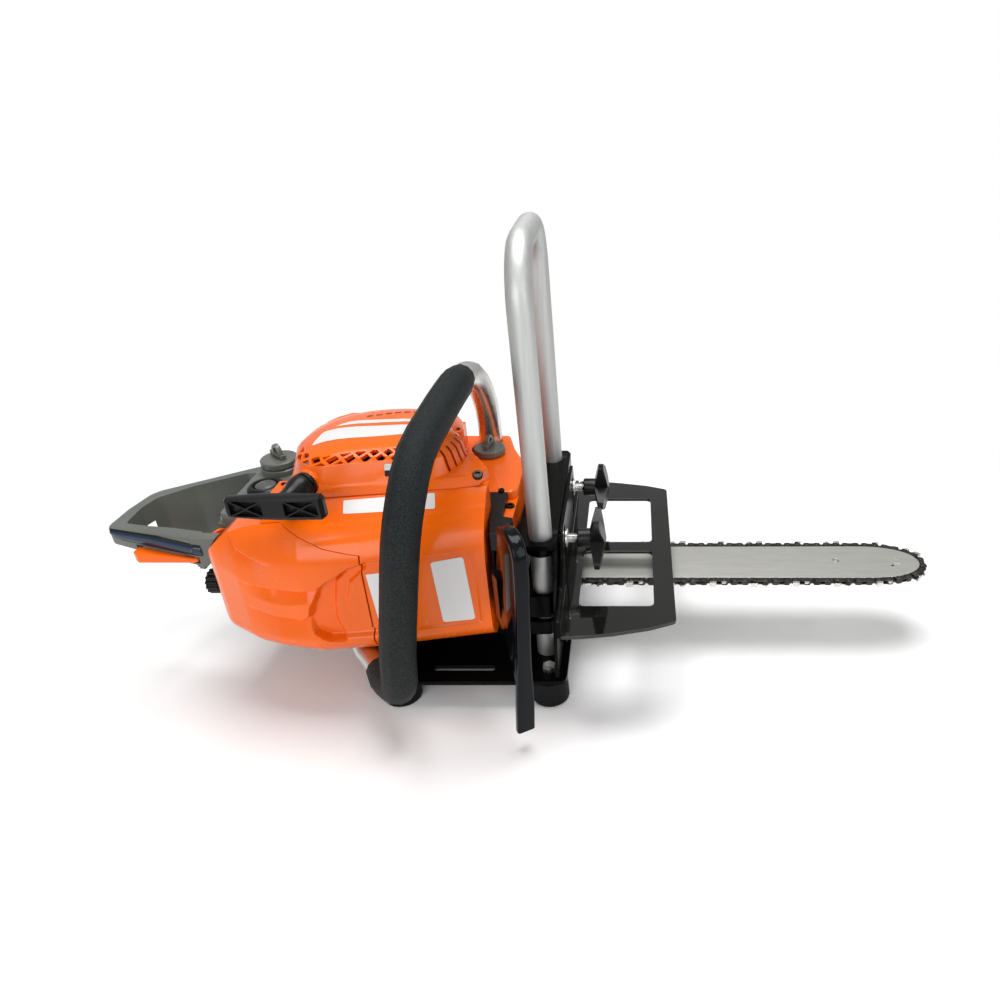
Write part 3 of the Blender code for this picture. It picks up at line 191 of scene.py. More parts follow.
CHAIN_STEEL = surface("oiled_chain_steel", ((0.030, 0.028, 0.025), (0.090, 0.086, 0.080)),
                      (0.24, 0.42), 500.0, (0.10, 0.0002), metallic=1.0, patch=110.0)
CUTTER_STEEL = surface("chromed_cutters", ((0.56, 0.55, 0.51), (0.74, 0.73, 0.69)),
                       (0.18, 0.32), 500.0, (0.06, 0.0002), metallic=1.0, patch=110.0)
CAST = surface("cast_fan", ((0.020, 0.020, 0.021), (0.034, 0.034, 0.035)),
               (0.40, 0.55), 700.0, (0.2, 0.0003), specular=0.3)
BULB = surface("primer_rubber", ((0.075, 0.080, 0.077), (0.100, 0.106, 0.102)),
               (0.30, 0.40), 300.0, (0.02, 0.0002), specular=0.3)
LABEL_WHITE = surface("white_label", ((0.70, 0.70, 0.69), (0.74, 0.74, 0.73)),
                      (0.28, 0.36), 500.0, (0.02, 0.0001), coat=0.2)
# Dark orange painted shade, laid on as flat patches where slot openings lie in shade.
SHADE = surface("painted_slot_shade", ((0.20, 0.018, 0.001), (0.30, 0.030, 0.001)),
                (0.4, 0.5), 500.0, (0.02, 0.0001), specular=0.2)
ROPE = braided("starter_rope_braid", ((0.010, 0.010, 0.010), (0.030, 0.030, 0.030)), 260.0)

NODE_LOOKS = {
    ORANGE: ("crankcase", "starter_cover", "top_cover", "filter_cover", "throttle_trigger",
             "throttle_lockout"),
    GREY: ("rear_handle", "fuel_cap", "fuel_cap_loop", "oil_cap", "oil_cap_loop"),
    BLACK: ("filter_knob", "clamp_knob_near", "clamp_knob_far", "starter_grip", "rope_eyelet",
            "clutch_cover", "primer_ring"),
    GLOSS: ("hand_guard",),
    POWDER: ("base_plate", "upright_plate", "back_plate", "top_flange", "collar_near", "collar_far",
             "guide_bracket", "bar_clamp_upper", "bar_clamp_lower", "muffler_shield"),
    PLATE_GLOSS: ("guide_plate",),
    FOAM: ("foam_grip",),
    ALUMINIUM: ("push_handle",),
    TUBE: ("front_handle",),
    ZINC: ("stud_near", "stud_far", "washer_near", "washer_far", "bar_nut_front", "bar_nut_rear",
           "foot_bolt_near_front", "foot_bolt_near_rear", "foot_bolt_far_front",
           "foot_bolt_far_rear"),
    RUBBER: ("foot_near_front", "foot_near_rear", "foot_far_front", "foot_far_rear"),
    BAR_STEEL: ("guide_bar",),
    CHAIN_STEEL: ("saw_chain", "drive_sprocket"),
    CAST: ("fan_wheel",),
    BULB: ("primer_bulb",),
    ROPE: ("starter_rope",),
}
SMOOTH_LIMIT = math.radians(32.0)
EDGE_BREAK, HANDLE_BREAK, WELD_REACH = 0.35 * MM, 1.4 * MM, 0.01 * MM


def break_edges(ob, width):
    """A narrow two-step bevel on the sharp edges, with normals weighted to the larger faces."""
    edge = ob.modifiers.new("edge", "BEVEL")
    edge.width = width
    edge.segments = 2
    edge.limit_method = "ANGLE"
    edge.angle_limit = SMOOTH_LIMIT
    flat = ob.modifiers.new("flat", "WEIGHTED_NORMAL")
    flat.keep_sharp = False
    return edge


def dress_nodes():
    """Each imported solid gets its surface, welded shading and slightly broken edges."""
    for mat, names in NODE_LOOKS.items():
        for name in names:
            ob = NODES[name]
            ob.data.materials.clear()
            ob.data.materials.append(mat)
            for face in ob.data.polygons:
                face.use_smooth = True
            weld = ob.modifiers.new("weld", "WELD")
            weld.merge_threshold = WELD_REACH
            edge = break_edges(ob, HANDLE_BREAK if name == "rear_handle" else EDGE_BREAK)
            edge.miter_outer = "MITER_ARC"


# Meshes
def piece(name, bm, mat, body=ROOT, smooth=SMOOTH_LIMIT, bevel=0.0):
    """A mesh in working millimetres becomes one piece that rides on a body."""
    place = Matrix.Translation(SHIFT * MM) @ Matrix.Scale(MM, 4)
    bmesh.ops.transform(bm, matrix=place, verts=bm.verts)
    bmesh.ops.recalc_face_normals(bm, faces=bm.faces)
    for face in bm.faces:
        face.smooth = True
    for edge in bm.edges:
        edge.smooth = edge.calc_face_angle(0.0) < smooth
    mesh = bpy.data.meshes.new(name)
    bm.to_mesh(mesh)
    bm.free()
    mesh.materials.append(mat)
    ob = bpy.data.objects.new(name, mesh)
    bpy.context.scene.collection.objects.link(ob)
    if bevel:
        break_edges(ob, bevel * MM)
    if body:
        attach(ob, body)
    return ob


def add_walls(bm, loops):
    """Quads from each closed loop to the next."""
    for low, high in zip(loops, loops[1:]):
        for k in range(len(low)):
            nxt = (k + 1) % len(low)
            bm.faces.new((low[k], low[nxt], high[nxt], high[k]))


def add_tube(bm, loops):
    """Walls between closed loops, with a cap at each end."""
    add_walls(bm, loops)
    bm.faces.new(list(reversed(loops[0])))
    bm.faces.new(loops[-1])


def add_sheet(bm, rows):
    """Quads between open rows of vertices."""
    for low, high in zip(rows, rows[1:]):
        for k in range(len(low) - 1):
            bm.faces.new((low[k], low[k + 1], high[k + 1], high[k]))


def add_prism(bm, outline, low, high, place=Matrix.Identity(4)):
    """A prism over (x, y) points between two heights, set into place."""
    add_tube(bm, [[bm.verts.new(place @ Vector((x, y, level))) for x, y in outline]
                  for level in (low, high)])


def around(radius, share):
    """Point (x, y) on a circle, a share of a full turn from X."""
    angle = 2 * math.pi * share
    return radius * math.cos(angle), radius * math.sin(angle)


def add_lathe(bm, profile, place, sides=24):
    """Revolve (radius, height) points round the local Z axis; a zero radius closes the end."""
    rings = []
    for radius, height in profile:
        spots = [around(radius, k / sides) for k in range(sides)] if radius else [(0, 0)]
        rings.append([bm.verts.new(place @ Vector((*spot, height))) for spot in spots])
    for low, high in zip(rings, rings[1:]):
        if len(low) == 1:
            for k in range(sides):
                bm.faces.new((low[0], high[(k + 1) % sides], high[k]))
        elif len(high) == 1:
            for k in range(sides):
                bm.faces.new((low[k], low[(k + 1) % sides], high[0]))
        else:
            add_walls(bm, [low, high])


def frame_at(place, axis):
    """Matrix that puts the local Z axis along an axis at a place."""
    turn = Vector(axis).normalized().to_track_quat("Z", "Y")
    return Matrix.Translation(Vector(place)) @ turn.to_matrix().to_4x4()


def level_at(line, x):
    """Value of a line of (x, value) points, held at its ends."""
    if x <= line[0][0]:
        return line[0][1]
    for (x0, z0), (x1, z1) in zip(line, line[1:]):
        if x <= x1:
            return z0 + (z1 - z0) * (x - x0) / (x1 - x0)
    return line[-1][1]


def ramp(value, start, run):
    """0 up to start, 1 from start + run on, smooth between; a negative run goes the other way."""
    share = max(0.0, min(1.0, (value - start) / run))
    return share * share * (3 - 2 * share)


def ladder(low, high, steps):
    return [low + (high - low) * k / steps for k in range(steps + 1)]


def spaced(start, end, step):
    return ladder(start, end, max(1, round(abs(end - start) / step)))


# Saw housing: the shroud's two halves, with the same face as the solids but a finer mesh.
# SHROUD_REACH gives how far the face stands out at x; the lines below run along x, or along z for
# the noses, the scoop's rim and the disc's edge.
SHROUD_REACH = [(-346, 80), (-338, 89), (-326, 99), (-305, 110), (-280, 118), (-250, 123),
                (-206, 118), (-177, 112), (-140, 105), (-113, 100)]
SHROUD_INNER_Y, SHROUD_FRONT_X, SHROUD_SEAM_X, SHROUD_REAR_X = -58.0, -115.6, -206.0, -340.0
SHROUD_LOW_Z, SHROUD_TOP_Z, REAR_SHROUD_END_X = 60.0, 189.2, -280.0
UPPER_CREASE = [(-308, 172), (-301, 158.5), (-289, 152.7), (-272, 150.5)]
FRONT_CREASE = [(-228, 138), (-216, 146.5), (-204, 150.5), (-191, 154), (-163, 157.5), (-113, 160)]
UPPER_LIP = [(-312, 136.5), (-297, 129.5), (-280, 128.2), (-258, 128), (-240, 129.5)]
LOWER_RIDGE = [(-304, 122.5), (-295, 118.6), (-287, 115.3), (-265, 113.6), (-245, 118.3)]
LOWER_LIP = [(-303, 108), (-296, 105.7), (-277, 101.4), (-257, 100.7), (-247, 107)]
SKIRT = [(-322, 104), (-312, 92), (-302, 83.5), (-282, 80.8), (-260, 79.5), (-250, 80.5)]
NOSES = [(76, -226), (80, -240), (87, -250.5), (98, -252.4), (113, -247.5), (118, -244.5),
         (129, -240), (138, -228)]
SCOOP_RIM = [(80, -226), (84, -227.6), (97, -231), (114, -229.5), (134, -225.5), (144, -215)]
DISC_EDGE = [(87, -202.7), (91, -215.4), (102, -221.8), (115, -222.6), (133, -217.8), (146, -204)]
FILTER_TOP = [(-340, 127), (-335, 141), (-329, 150), (-318, 160), (-308, 169), (-295, 173.5),
              (-280, 176.5), (-266, 177.5), (-250, 169.7), (-232, 161.5), (-213, 156.7),
              (-205, 155.2)]
SHINGLES = [[(-240, 174.5), (-190, 176.5), (-130, 179)], [(-250, 164), (-190, 167), (-118, 172)]]
GILL_DEPTH, GILL_REAR_X, GILL_RUN, LIP_RUN = 7.5, -306, 34, 2.6
CHEEK_DEPTH, CHEEK_FRONT_X, CHEEK_REAR_X, CHEEK_RUNS, CREASE_SHARE = 5.5, -268, -326, (26, 12), 0.12
NOSE_RUN, CREASE_RUN, RIM_RUN, DISC_RUN, HOLLOW_LOW_Z = 3.0, 3.0, 3.5, 2.2, 66
SCOOP_DEPTH, SCOOP_FLOOR = 8.5, (77, 5)
RING_DEPTH, RING_FLOOR = 4.6, (80, 6)
PANEL_X, PANEL_Z, PANEL_DEPTH, PANEL_RUN = -123.0, (83.0, 151.0), 1.9, 1.6
SHINGLE_DEPTH, SHINGLE_FADE, SHINGLE_START = 0.7, 8.0, (-256, 30)
CROWN_Z, CROWN_POWER, HEM_Z, HEM_TUCK = 138, 2.3, 82, 15.0
SEAM_REACH, SEAM_SLOPE, SEAM_LIMITS = (-225, 83.5), 0.155, (65.0, 89.0)
TAIL_X, TAIL_RISE, TAIL_CURL, HIP_X, HIP_RISE = -329.0, 1.1, 0.064, -300, 0.25
SEAM_GAPS, CREST_GAP = {"front": 0.4, "upper": 0.1, "filter": 0.6}, 0.5
SHROUD_SMOOTH, SHROUD_BREAK = math.radians(50.0), 0.5
# Station spacing in millimetres, rows below the filter cover's crest and rows above it
QUICK_MESH, FINE_MESH = (3.0, 30, 12), (1.15, 76, 28)


def shroud_relief(x, z):
    """How far the face is sunk: gills, cheek, scoop with its ring, label panel and shingles."""
    upper_lip, lower_lip = level_at(UPPER_LIP, x), level_at(LOWER_LIP, x)
    upper, front = level_at(UPPER_CREASE, x), level_at(FRONT_CREASE, x)
    depth = 0.0
    for low, lip in ((level_at(LOWER_RIDGE, x), upper_lip), (level_at(SKIRT, x), lower_lip)):
        if low < z < lip:
            bulge = GILL_DEPTH * ramp(x, GILL_REAR_X, GILL_RUN)
            depth = bulge * ramp(z, lip, -LIP_RUN) * (z - low) / (lip - low)
    if upper_lip < z < upper and x < CHEEK_FRONT_X:
        share = (z - upper_lip) / (upper - upper_lip)
        fade = ramp(x, CHEEK_FRONT_X, -CHEEK_RUNS[0]) * ramp(x, CHEEK_REAR_X, CHEEK_RUNS[1])
        depth += CHEEK_DEPTH * fade * ramp(share, 1, -CREASE_SHARE) * share
    nose, rim, disc = level_at(NOSES, z), level_at(SCOOP_RIM, z), level_at(DISC_EDGE, z)
    past_nose = ramp(x, nose - NOSE_RUN / 2, NOSE_RUN)
    past_rim, past_disc = ramp(x, rim - RIM_RUN, RIM_RUN), ramp(x, disc, DISC_RUN)
    depth *= 1 - past_nose
    if z > HOLLOW_LOW_Z:
        scoop = SCOOP_DEPTH * (1 - past_rim) * ramp(z, *SCOOP_FLOOR)
        ring = RING_DEPTH * past_rim * (1 - past_disc) * ramp(z, *RING_FLOOR)
        depth += past_nose * ramp(z, front, -CREASE_RUN) * (scoop + ring)
        inset = min(PANEL_X - x, PANEL_Z[1] - z, z - PANEL_Z[0])
        depth += PANEL_DEPTH * past_disc * ramp(inset, 0, PANEL_RUN)
    for line in SHINGLES:
        drop = z - level_at(line, x)
        step = ramp(drop, 0, SHINGLE_DEPTH) * (1 - ramp(drop, 0, SHINGLE_FADE))
        depth += SHINGLE_DEPTH * step * ramp(x, *SHINGLE_START)
    return depth


def shroud_face(x, z, z_bottom):
    """Place of the shroud's outer face at a station and a height."""
    reach = level_at(SHROUD_REACH, x)
    drop = shroud_relief(x, z)
    if z > CROWN_Z:
        seam = SEAM_REACH[1] - SEAM_SLOPE * (x - SEAM_REACH[0])
        seam = max(SEAM_LIMITS[0], min(SEAM_LIMITS[1], seam))
        share = min(1.0, (z - CROWN_Z) / (SHROUD_TOP_Z - CROWN_Z))
        drop += (reach - seam) * share ** CROWN_POWER
    if z < HEM_Z:
        drop += HEM_TUCK * min(1.0, (HEM_Z - z) / (HEM_Z - z_bottom)) ** 2
    return Vector((x, drop - reach, z))


def shroud_ring(x, levels, bottom, shift=0.0):
    """Points from the lower edge up the face and back down the inner wall."""
    ring = []
    for z in levels:
        point = shroud_face(x, z, bottom)
        point.y = min(point.y + shift, SHROUD_INNER_Y - 0.01)
        ring.append(point)
    return ring + [Vector((x, SHROUD_INNER_Y, z)) for z in (levels[-1], levels[0])]


def skin(name, front, node, rear=()):
    """Closed shell over rings; shorter rear rings carry on from the last one's upper points."""
    bm = bmesh.new()
    loops = [[bm.verts.new(p) for p in ring] for ring in front]
    if not rear:
        add_tube(bm, loops)
    else:
        add_walls(bm, loops)
        bm.faces.new(list(reversed(loops[0])))
        tails = [[bm.verts.new(p) for p in ring] for ring in rear]
        add_walls(bm, tails)
        bm.faces.new(tails[-1])
        last, first = loops[-1], tails[0]
        extra = len(last) - len(first)
        add_sheet(bm, [last[extra:], first])
        bm.faces.new(last[:extra + 1] + [first[0], first[-1], last[-1]])
    ob = piece(name, bm, ORANGE, smooth=SHROUD_SMOOTH, bevel=SHROUD_BREAK)
    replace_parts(ob, node)
    return ob


def add_shrouds():
    step, rows, upper_rows = FINE_MESH
    split = level_at(FILTER_TOP, SHROUD_SEAM_X) + CREST_GAP
    levels = ladder(SHROUD_LOW_Z, split, rows)[:-1] + ladder(split, SHROUD_TOP_Z, upper_rows)
    front = [shroud_ring(x, levels, SHROUD_LOW_Z)
             for x in spaced(SHROUD_FRONT_X, SHROUD_SEAM_X + SEAM_GAPS["front"], step)]
    rear = []
    for x in spaced(SHROUD_SEAM_X - SEAM_GAPS["upper"], REAR_SHROUD_END_X, step):
        crest = level_at(FILTER_TOP, x) + CREST_GAP
        rear.append(shroud_ring(x, ladder(crest, SHROUD_TOP_Z, upper_rows), SHROUD_LOW_Z))
    top_skin = skin("top_cover_skin", front, "top_cover", rear)

    rings = []
    for x in spaced(SHROUD_SEAM_X - SEAM_GAPS["filter"], SHROUD_REAR_X, step):
        tail = max(0.0, TAIL_X - x)
        low = SHROUD_LOW_Z + max(0.0, HIP_X - x) * HIP_RISE + tail * TAIL_RISE
        levels = ladder(low, level_at(FILTER_TOP, x), rows + upper_rows)
        rings.append(shroud_ring(x, levels, low, TAIL_CURL * tail ** 2))
    return top_skin, skin("filter_cover_skin", rings, "filter_cover")


# Labels: blank stickers laid on the surface that carries them
LABEL_COLUMNS, LABEL_ROWS, CORNER_ROWS, RAY_START = 40, 12, 6, 50.0 * MM
ABOVE_Z, BEFORE_Y = 230, -150


def tree_of(objects):
    """A ray tree over the shown shape of some objects, in metres."""
    graph_now = bpy.context.evaluated_depsgraph_get()
    points, faces = [], []
    for ob in objects:
        shown = ob.evaluated_get(graph_now)
        mesh = shown.to_mesh()
        start = len(points)
        points += [v.co.copy() for v in mesh.vertices]
        faces += [[start + i for i in f.vertices] for f in mesh.polygons]
        shown.to_mesh_clear()
    return BVHTree.FromPolygons(points, faces)


def roof_corners(*corners):
    """Corners (x, y) of a label that is laid down from above."""
    return [(x, y, ABOVE_Z) for x, y in corners]


def face_corners(*corners):
    """Corners (x, z) of a label that is laid on from the camera's side."""
    return [(x, BEFORE_Y, z) for x, z in corners]


def add_label(name, corners, towards, tree, radius, mat, lift=0.25):
    """A thin sticker over four corners (near left, near right, far right, far left)."""
    a, b, c, d = (Vector(p) for p in corners)
    width = ((b - a).length + (c - d).length) / 2
    height = ((d - a).length + (c - b).length) / 2
    ends = [0.0]
    for k in range(1, CORNER_ROWS + 1):
        ends.append(radius * (1 - math.cos(math.pi / 2 * k / CORNER_ROWS)))
    middle = ladder(radius, height - radius, LABEL_ROWS)[1:-1]
    towards = Vector(towards).normalized()
    bm = bmesh.new()
    grid = []
    for t in ends + middle + [height - r for r in reversed(ends)]:
        near = min(t, height - t)
        inset = 0.0
        if near < radius:
            inset = radius - math.sqrt(max(0.0, radius ** 2 - (radius - near) ** 2))
        line = []
        for across in ladder(inset, width - inset, LABEL_COLUMNS):
            place = a.lerp(b, across / width).lerp(d.lerp(c, across / width), t / height)
            hit, normal, _, _ = tree.ray_cast(at(*place) - towards * RAY_START, towards)
            if hit is None:
                raise RuntimeError(name + " misses its surface")
            if normal.dot(towards) > 0:
                normal = -normal
            line.append(bm.verts.new((hit + normal * lift * MM) / MM - SHIFT))
        grid.append(line)
    add_sheet(bm, grid)
    return piece(name, bm, mat)


def add_labels(top_skin, filter_skin):
    """Panels and a row of painted slot shades on the dome, panels on the shroud, and the cover's
    clip on a patch of painted shade.
    """
    dome = tree_of([NODES["starter_cover"]])
    shroud = tree_of([top_skin, filter_skin])
    for name, radius, corners in (
            ("dome_label", 3.0, ((-250, -57), (-180, -44), (-178, -27), (-247, -34))),
            ("dome_stripe", 1.5, ((-241, -27.5), (-176, -20.5), (-175.5, -14.5), (-232, -19)))):
        add_label(name, roof_corners(*corners), DOWN, dome, radius, LABEL_WHITE)
    for name, radius, corners in (
            ("upper_label", 1, ((-219.6, 180.7), (-152.8, 179.5), (-154.2, 187.6), (-221, 187.2))),
            ("panel_label", 2.5, ((-153.4, 86.5), (-128.6, 86), (-132, 146.2), (-156.4, 144))),
            ("seam_label", 1, ((-200.6, 92.3), (-184, 92.3), (-184, 139.7), (-203.6, 139.7)))):
        add_label(name, face_corners(*corners), AWAY, shroud, radius, LABEL_WHITE)
    # Dark patches of painted shade, standing in for the shaded openings of the dome's rim slots.
    for k in range(6):
        x, y = -221.0 + 6.9 * k, -10.0 + 2.9 * k
        corners = roof_corners((x, y), (x + 4.6, y + 1.6), (x + 4.6, y + 5.4), (x, y + 3.8))
        add_label("rim_slot_shade_%d" % k, corners, DOWN, dome, 0.4, SHADE, 0.15)
    # A black patch of painted shade where the recess behind the cover's clip lies in shadow.
    corners = face_corners((-190.0, 202.4), (-181.0, 202.4), (-181.0, 207.0), (-190.0, 207.0))
    add_label("clip_recess_shade", corners, AWAY, dome, 0.5, BLACK)
    bm = bmesh.new()
    outline = [(-4.5, -2.6), (4.5, -2.6), (4.5, 1.4), (3.4, 2.6), (-3.4, 2.6), (-4.5, 1.4)]
    lean = Matrix.Rotation(math.radians(76), 4, "X")
    add_prism(bm, outline, -1.5, 1.6, Matrix.Translation((-185.5, -73.8, 209.6)) @ lean)
    piece("cover_clip", bm, BAR_STEEL, bevel=0.4)


# Rear handle's inlay: lower and upper edge along x
STRIPE_LOW = [(-425.5, 144.4), (-416.4, 141.2), (-387.0, 139.3), (-360.1, 136.4), (-345.0, 135.9)]
STRIPE_HIGH = [(-425.5, 147.0), (-416.4, 146.4), (-387.0, 146.6), (-360.1, 143.2), (-345.0, 141.0)]
STRIPE_TOP_Z, STRIPE_STEPS, STRIPE_ACROSS, STRIPE_BASE, STRIPE_RAY_Y = 148.2, 60, 8, 0.2, -160.0


def add_grip_stripe():
    """Soft glossy inlay along the near bar of the rear handle, crowned across its width; its dark
    blue is a painted reflection of bluish light.
    """
    handle = tree_of([NODES["rear_handle"]])
    for name, mat, low_add, high_add, lift in (("grip_stripe", INLAY_PAINTED_SHEEN, -1.6, 0.0, 1.1),
                                               ("grip_stripe_edge", BLACK, -2.6, 2.2, 0.3)):
        bm = bmesh.new()
        grid = []
        for x in ladder(STRIPE_LOW[0][0], STRIPE_LOW[-1][0], STRIPE_STEPS):
            low = level_at(STRIPE_LOW, x) + low_add
            high = min(STRIPE_TOP_Z, level_at(STRIPE_HIGH, x) + high_add)
            line = []
            for j in range(STRIPE_ACROSS + 1):
                share = j / STRIPE_ACROSS
                start = at(x, STRIPE_RAY_Y, low + (high - low) * share)
                hit = handle.ray_cast(start, AWAY)[0]
                if hit is None:
                    raise RuntimeError(name + " misses the handle")
                rise = STRIPE_BASE + lift * (1 - (2 * share - 1) ** 4)
                line.append(bm.verts.new((hit + Vector((0, -rise, 0)) * MM) / MM - SHIFT))
            grid.append(line)
        add_sheet(bm, grid)
        piece(name, bm, mat)


# Primer: its place and the (radius, height) profiles of its ring and bulb
PRIMER = (-315.0, -17.0, 0.0)
PRIMER_RING = [(9.3, 158.0), (15.0, 158.0), (15.3, 160.4), (14.4, 162.8), (12.2, 164.2),
               (10.2, 163.9), (9.3, 162.4), (9.3, 158.0)]
PRIMER_BULB = [(0, 158.6), (8.9, 158.6), (8.9, 162.4), (8.3, 163.8), (6.9, 164.6), (6.2, 164.4),
               (5.6, 164.7), (2.6, 165.1), (2.2, 164.8), (0, 164.8)]


def add_primer():
    """Thick dark ring with the flat-topped rubber bulb inside it."""
    place = Matrix.Translation(PRIMER)
    bm = bmesh.new()
    add_lathe(bm, PRIMER_RING, place, 48)
    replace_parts(piece("primer_collar", bm, BLACK), "primer_ring")
    bm = bmesh.new()
    add_lathe(bm, PRIMER_BULB, place, 48)
    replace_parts(piece("primer_button", bm, BULB, body="primer"), "primer_bulb")


# Hand guard: outlines are (width from the root, height) in the leaning plate's plane
GUARD_LEAN, GUARD_ROOT = Vector((22, -40, 0)).normalized(), Vector((-106.5, -118.0, 0))
GUARD_PLATE = [(0, 96), (22, 80), (35, 56), (38, 28), (44, 28), (45, 60), (45, 150), (40, 189),
               (24, 194), (4, 185), (-2, 150), (-2, 110)]
GUARD_RIM = [(42, 20), (42.5, 45), (42.5, 80), (42.5, 135), (41.5, 166), (37, 184), (24, 190),
             (8, 185)]
# The plate's rounded edge as (offset from its middle, draw-in of the outline)
GUARD_EDGE = ((-3.2, 1.2), (-2.9, 0.4), (-2.2, 0), (2.2, 0), (2.9, 0.4), (3.2, 1.2))
GUARD_MIDDLE, GUARD_HALF, GUARD_CORNER = (20, 104), (40, 100), 7
RIM_HALF, RIM_TAPER, RIM_TAPER_Z, RIM_THICK, RIM_CORNER = 7.2, 2.0, (40, 60), 3.4, 2.4
GUARD_TILT, GUARD_LOW_Z = 0.05, 20.0
GUARD_PIVOT = (-103.0, -84.0, 0)
GUARD_BARREL = [(0, 90.5), (6, 90.5), (6, 145.5), (0, 145.5)]
GUARD_LINK = [(-108.5, -84), (-98, -84), (-97, -116), (-103.5, -122.5), (-108.5, -114)]
GUARD_LINK_Z = (100, 140)
CORNER_STEPS, RIM_STEPS = 6, 12


def softened(points, radius):
    """Closed outline with each corner turned into a short curve."""
    out = []
    for i, p in enumerate(points):
        corner = Vector(p)
        before = Vector(points[i - 1]) - corner
        after = Vector(points[(i + 1) % len(points)]) - corner
        start = corner + before.normalized() * min(radius, before.length / 2)
        end = corner + after.normalized() * min(radius, after.length / 2)
        for t in ladder(0, 1, CORNER_STEPS):
            out.append(start * (1 - t) ** 2 + corner * 2 * t * (1 - t) + end * t * t)
    return out


def flowing(points, steps):
    """Open line through the points with a smooth turn at each."""
    pts = [Vector(p) for p in points]
    pts = [pts[0] * 2 - pts[1], *pts, pts[-1] * 2 - pts[-2]]
    out = []
    for a, b, c, d in zip(pts, pts[1:], pts[2:], pts[3:]):
        for t in ladder(0, 1, steps)[:-1]:
            square = (a * 2 - b * 5 + c * 4 - d) * t * t
            cube = (b * 3 - a - c * 3 + d) * t ** 3
            out.append((b * 2 + (c - a) * t + square + cube) * 0.5)
    return out + [pts[-2]]


def add_guard():
    """Hand guard: thin leaning plate, thick rounded rim, pivot barrel and link."""
    normal = Vector((GUARD_LEAN.y, -GUARD_LEAN.x, 0))
    bm = bmesh.new()
    loops = []
    for offset, shrink in GUARD_EDGE:
        loop = []
        for w, z in softened(GUARD_PLATE, GUARD_CORNER):
            w2 = w + (GUARD_MIDDLE[0] - w) * shrink / GUARD_HALF[0]
            z2 = z + (GUARD_MIDDLE[1] - z) * shrink / GUARD_HALF[1]
            spot = GUARD_ROOT + GUARD_LEAN * w2 + normal * offset + Vector((0, 0, z2))
            loop.append(bm.verts.new(spot))
        loops.append(loop)
    add_tube(bm, loops)
    line = [GUARD_ROOT + GUARD_LEAN * w + Vector((0, 0, z))
            for w, z in flowing(GUARD_RIM, RIM_STEPS)]
    loops = []
    for i, here in enumerate(line):
        run = (line[min(i + 1, len(line) - 1)] - line[max(i - 1, 0)]).normalized()
        inward = normal.cross(run).normalized()
        half = RIM_HALF - RIM_TAPER * ramp(here.z, *RIM_TAPER_Z)
        section = [(-half, -RIM_THICK), (half, -RIM_THICK), (half, RIM_THICK), (-half, RIM_THICK)]
        loops.append([bm.verts.new(here + normal * a + inward * b)
                      for a, b in softened(section, RIM_CORNER)])
    add_tube(bm, loops)
    for v in bm.verts:
        v.co.x += GUARD_TILT * (v.co.z - GUARD_LOW_Z)
    add_lathe(bm, GUARD_BARREL, Matrix.Translation(GUARD_PIVOT), 32)
    add_prism(bm, GUARD_LINK, *GUARD_LINK_Z)
    guard = piece("guard_shell", bm, GLOSS, body="brake_guard",
                  smooth=math.radians(40))
    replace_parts(guard, "hand_guard")


# Muffler shell: (x, y) outlines below and above its shelf
MUFFLER_SIDE = [(-115.1, -60.5), (-115.1, -76), (-113.9, -77.5), (-113.9, -82.5), (-112.7, -84),
                (-112.7, -89), (-111.6, -90.5), (-111.6, -95)]
MUFFLER_INNER = [(-109.4, -96.5), (-109.4, -60.5)]
MUFFLER_ROOF = [(-98.5, -96.5), (-96.4, -94), (-96.4, -74), (-104.7, -72), (-104.7, -40.7),
                (-118.2, -40.7), (-118.2, -57.2), (-115.1, -57.2)]
MUFFLER_Z, ROOF_BEND_Y, ROOF_SLOPES = (92, 147.4, 166), -60, (0.075, 0.18)


def add_muffler():
    """Ribbed black heat shield in the gap between the covers and the guard."""
    low, shelf, top = MUFFLER_Z
    bm = bmesh.new()
    add_prism(bm, MUFFLER_SIDE + MUFFLER_INNER, low, shelf)
    add_prism(bm, MUFFLER_SIDE[1:] + MUFFLER_ROOF, shelf, top)
    for v in bm.verts:
        if v.co.z > shelf + 1:
            slope = ROOF_SLOPES[0] if v.co.y < ROOF_BEND_Y else ROOF_SLOPES[1]
            v.co.z += slope * (v.co.y - ROOF_BEND_Y)
    shell = piece("muffler_shell", bm, BLACK, bevel=0.5)
    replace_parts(shell, "muffler_shield")


# Fasteners
SCREW_SIDES, SOCKET_SHARE, SOCKET_FLOOR, SCREW_SUNK = 24, 0.5, 0.3, -1.0


def socket_screw(name, place, axis, radius, height, mat):
    """Round-headed screw with a six-sided socket."""
    seat = frame_at(place, axis)
    bm = bmesh.new()
    add_lathe(bm, [(0, SCREW_SUNK), (radius, SCREW_SUNK), (radius, height * 0.7),
                   (radius * 0.85, height)], seat, SCREW_SIDES)
    rim = list(bm.verts)[-SCREW_SIDES:]
    hexagon, floor = [], []
    for k in range(SCREW_SIDES):
        angle = 2 * math.pi * k / SCREW_SIDES
        off_flat = (angle + math.pi / 6) % (math.pi / 3) - math.pi / 6
        spot = around(radius * SOCKET_SHARE / math.cos(off_flat), k / SCREW_SIDES)
        hexagon.append(bm.verts.new(seat @ Vector((*spot, height))))
        floor.append(bm.verts.new(seat @ Vector((*spot, height * SOCKET_FLOOR))))
    add_walls(bm, [rim, hexagon, floor])
    bm.faces.new(floor)
    return piece(name, bm, mat)


# Far faces: x from and to, y, surface, node and the heights of the ribs
FAR_FACES = ((-262, -197, 58.0, ORANGE, "crankcase", (92, 108, 124, 140, 156, 172)),
             (-184, -122, 72.0, ORANGE, "crankcase", (92, 108, 124, 140, 156)),
             (-330, -280, 60.0, GREY, "rear_handle", (90, 106, 122, 138)))
RIB_HALF, RIB_POINT, RIB_SUNK, RIB_RISE = 1.1, 1.5, 0.2, 1.5
FAR_SCREW_IN, FAR_SCREW_DOWN = 4, 8


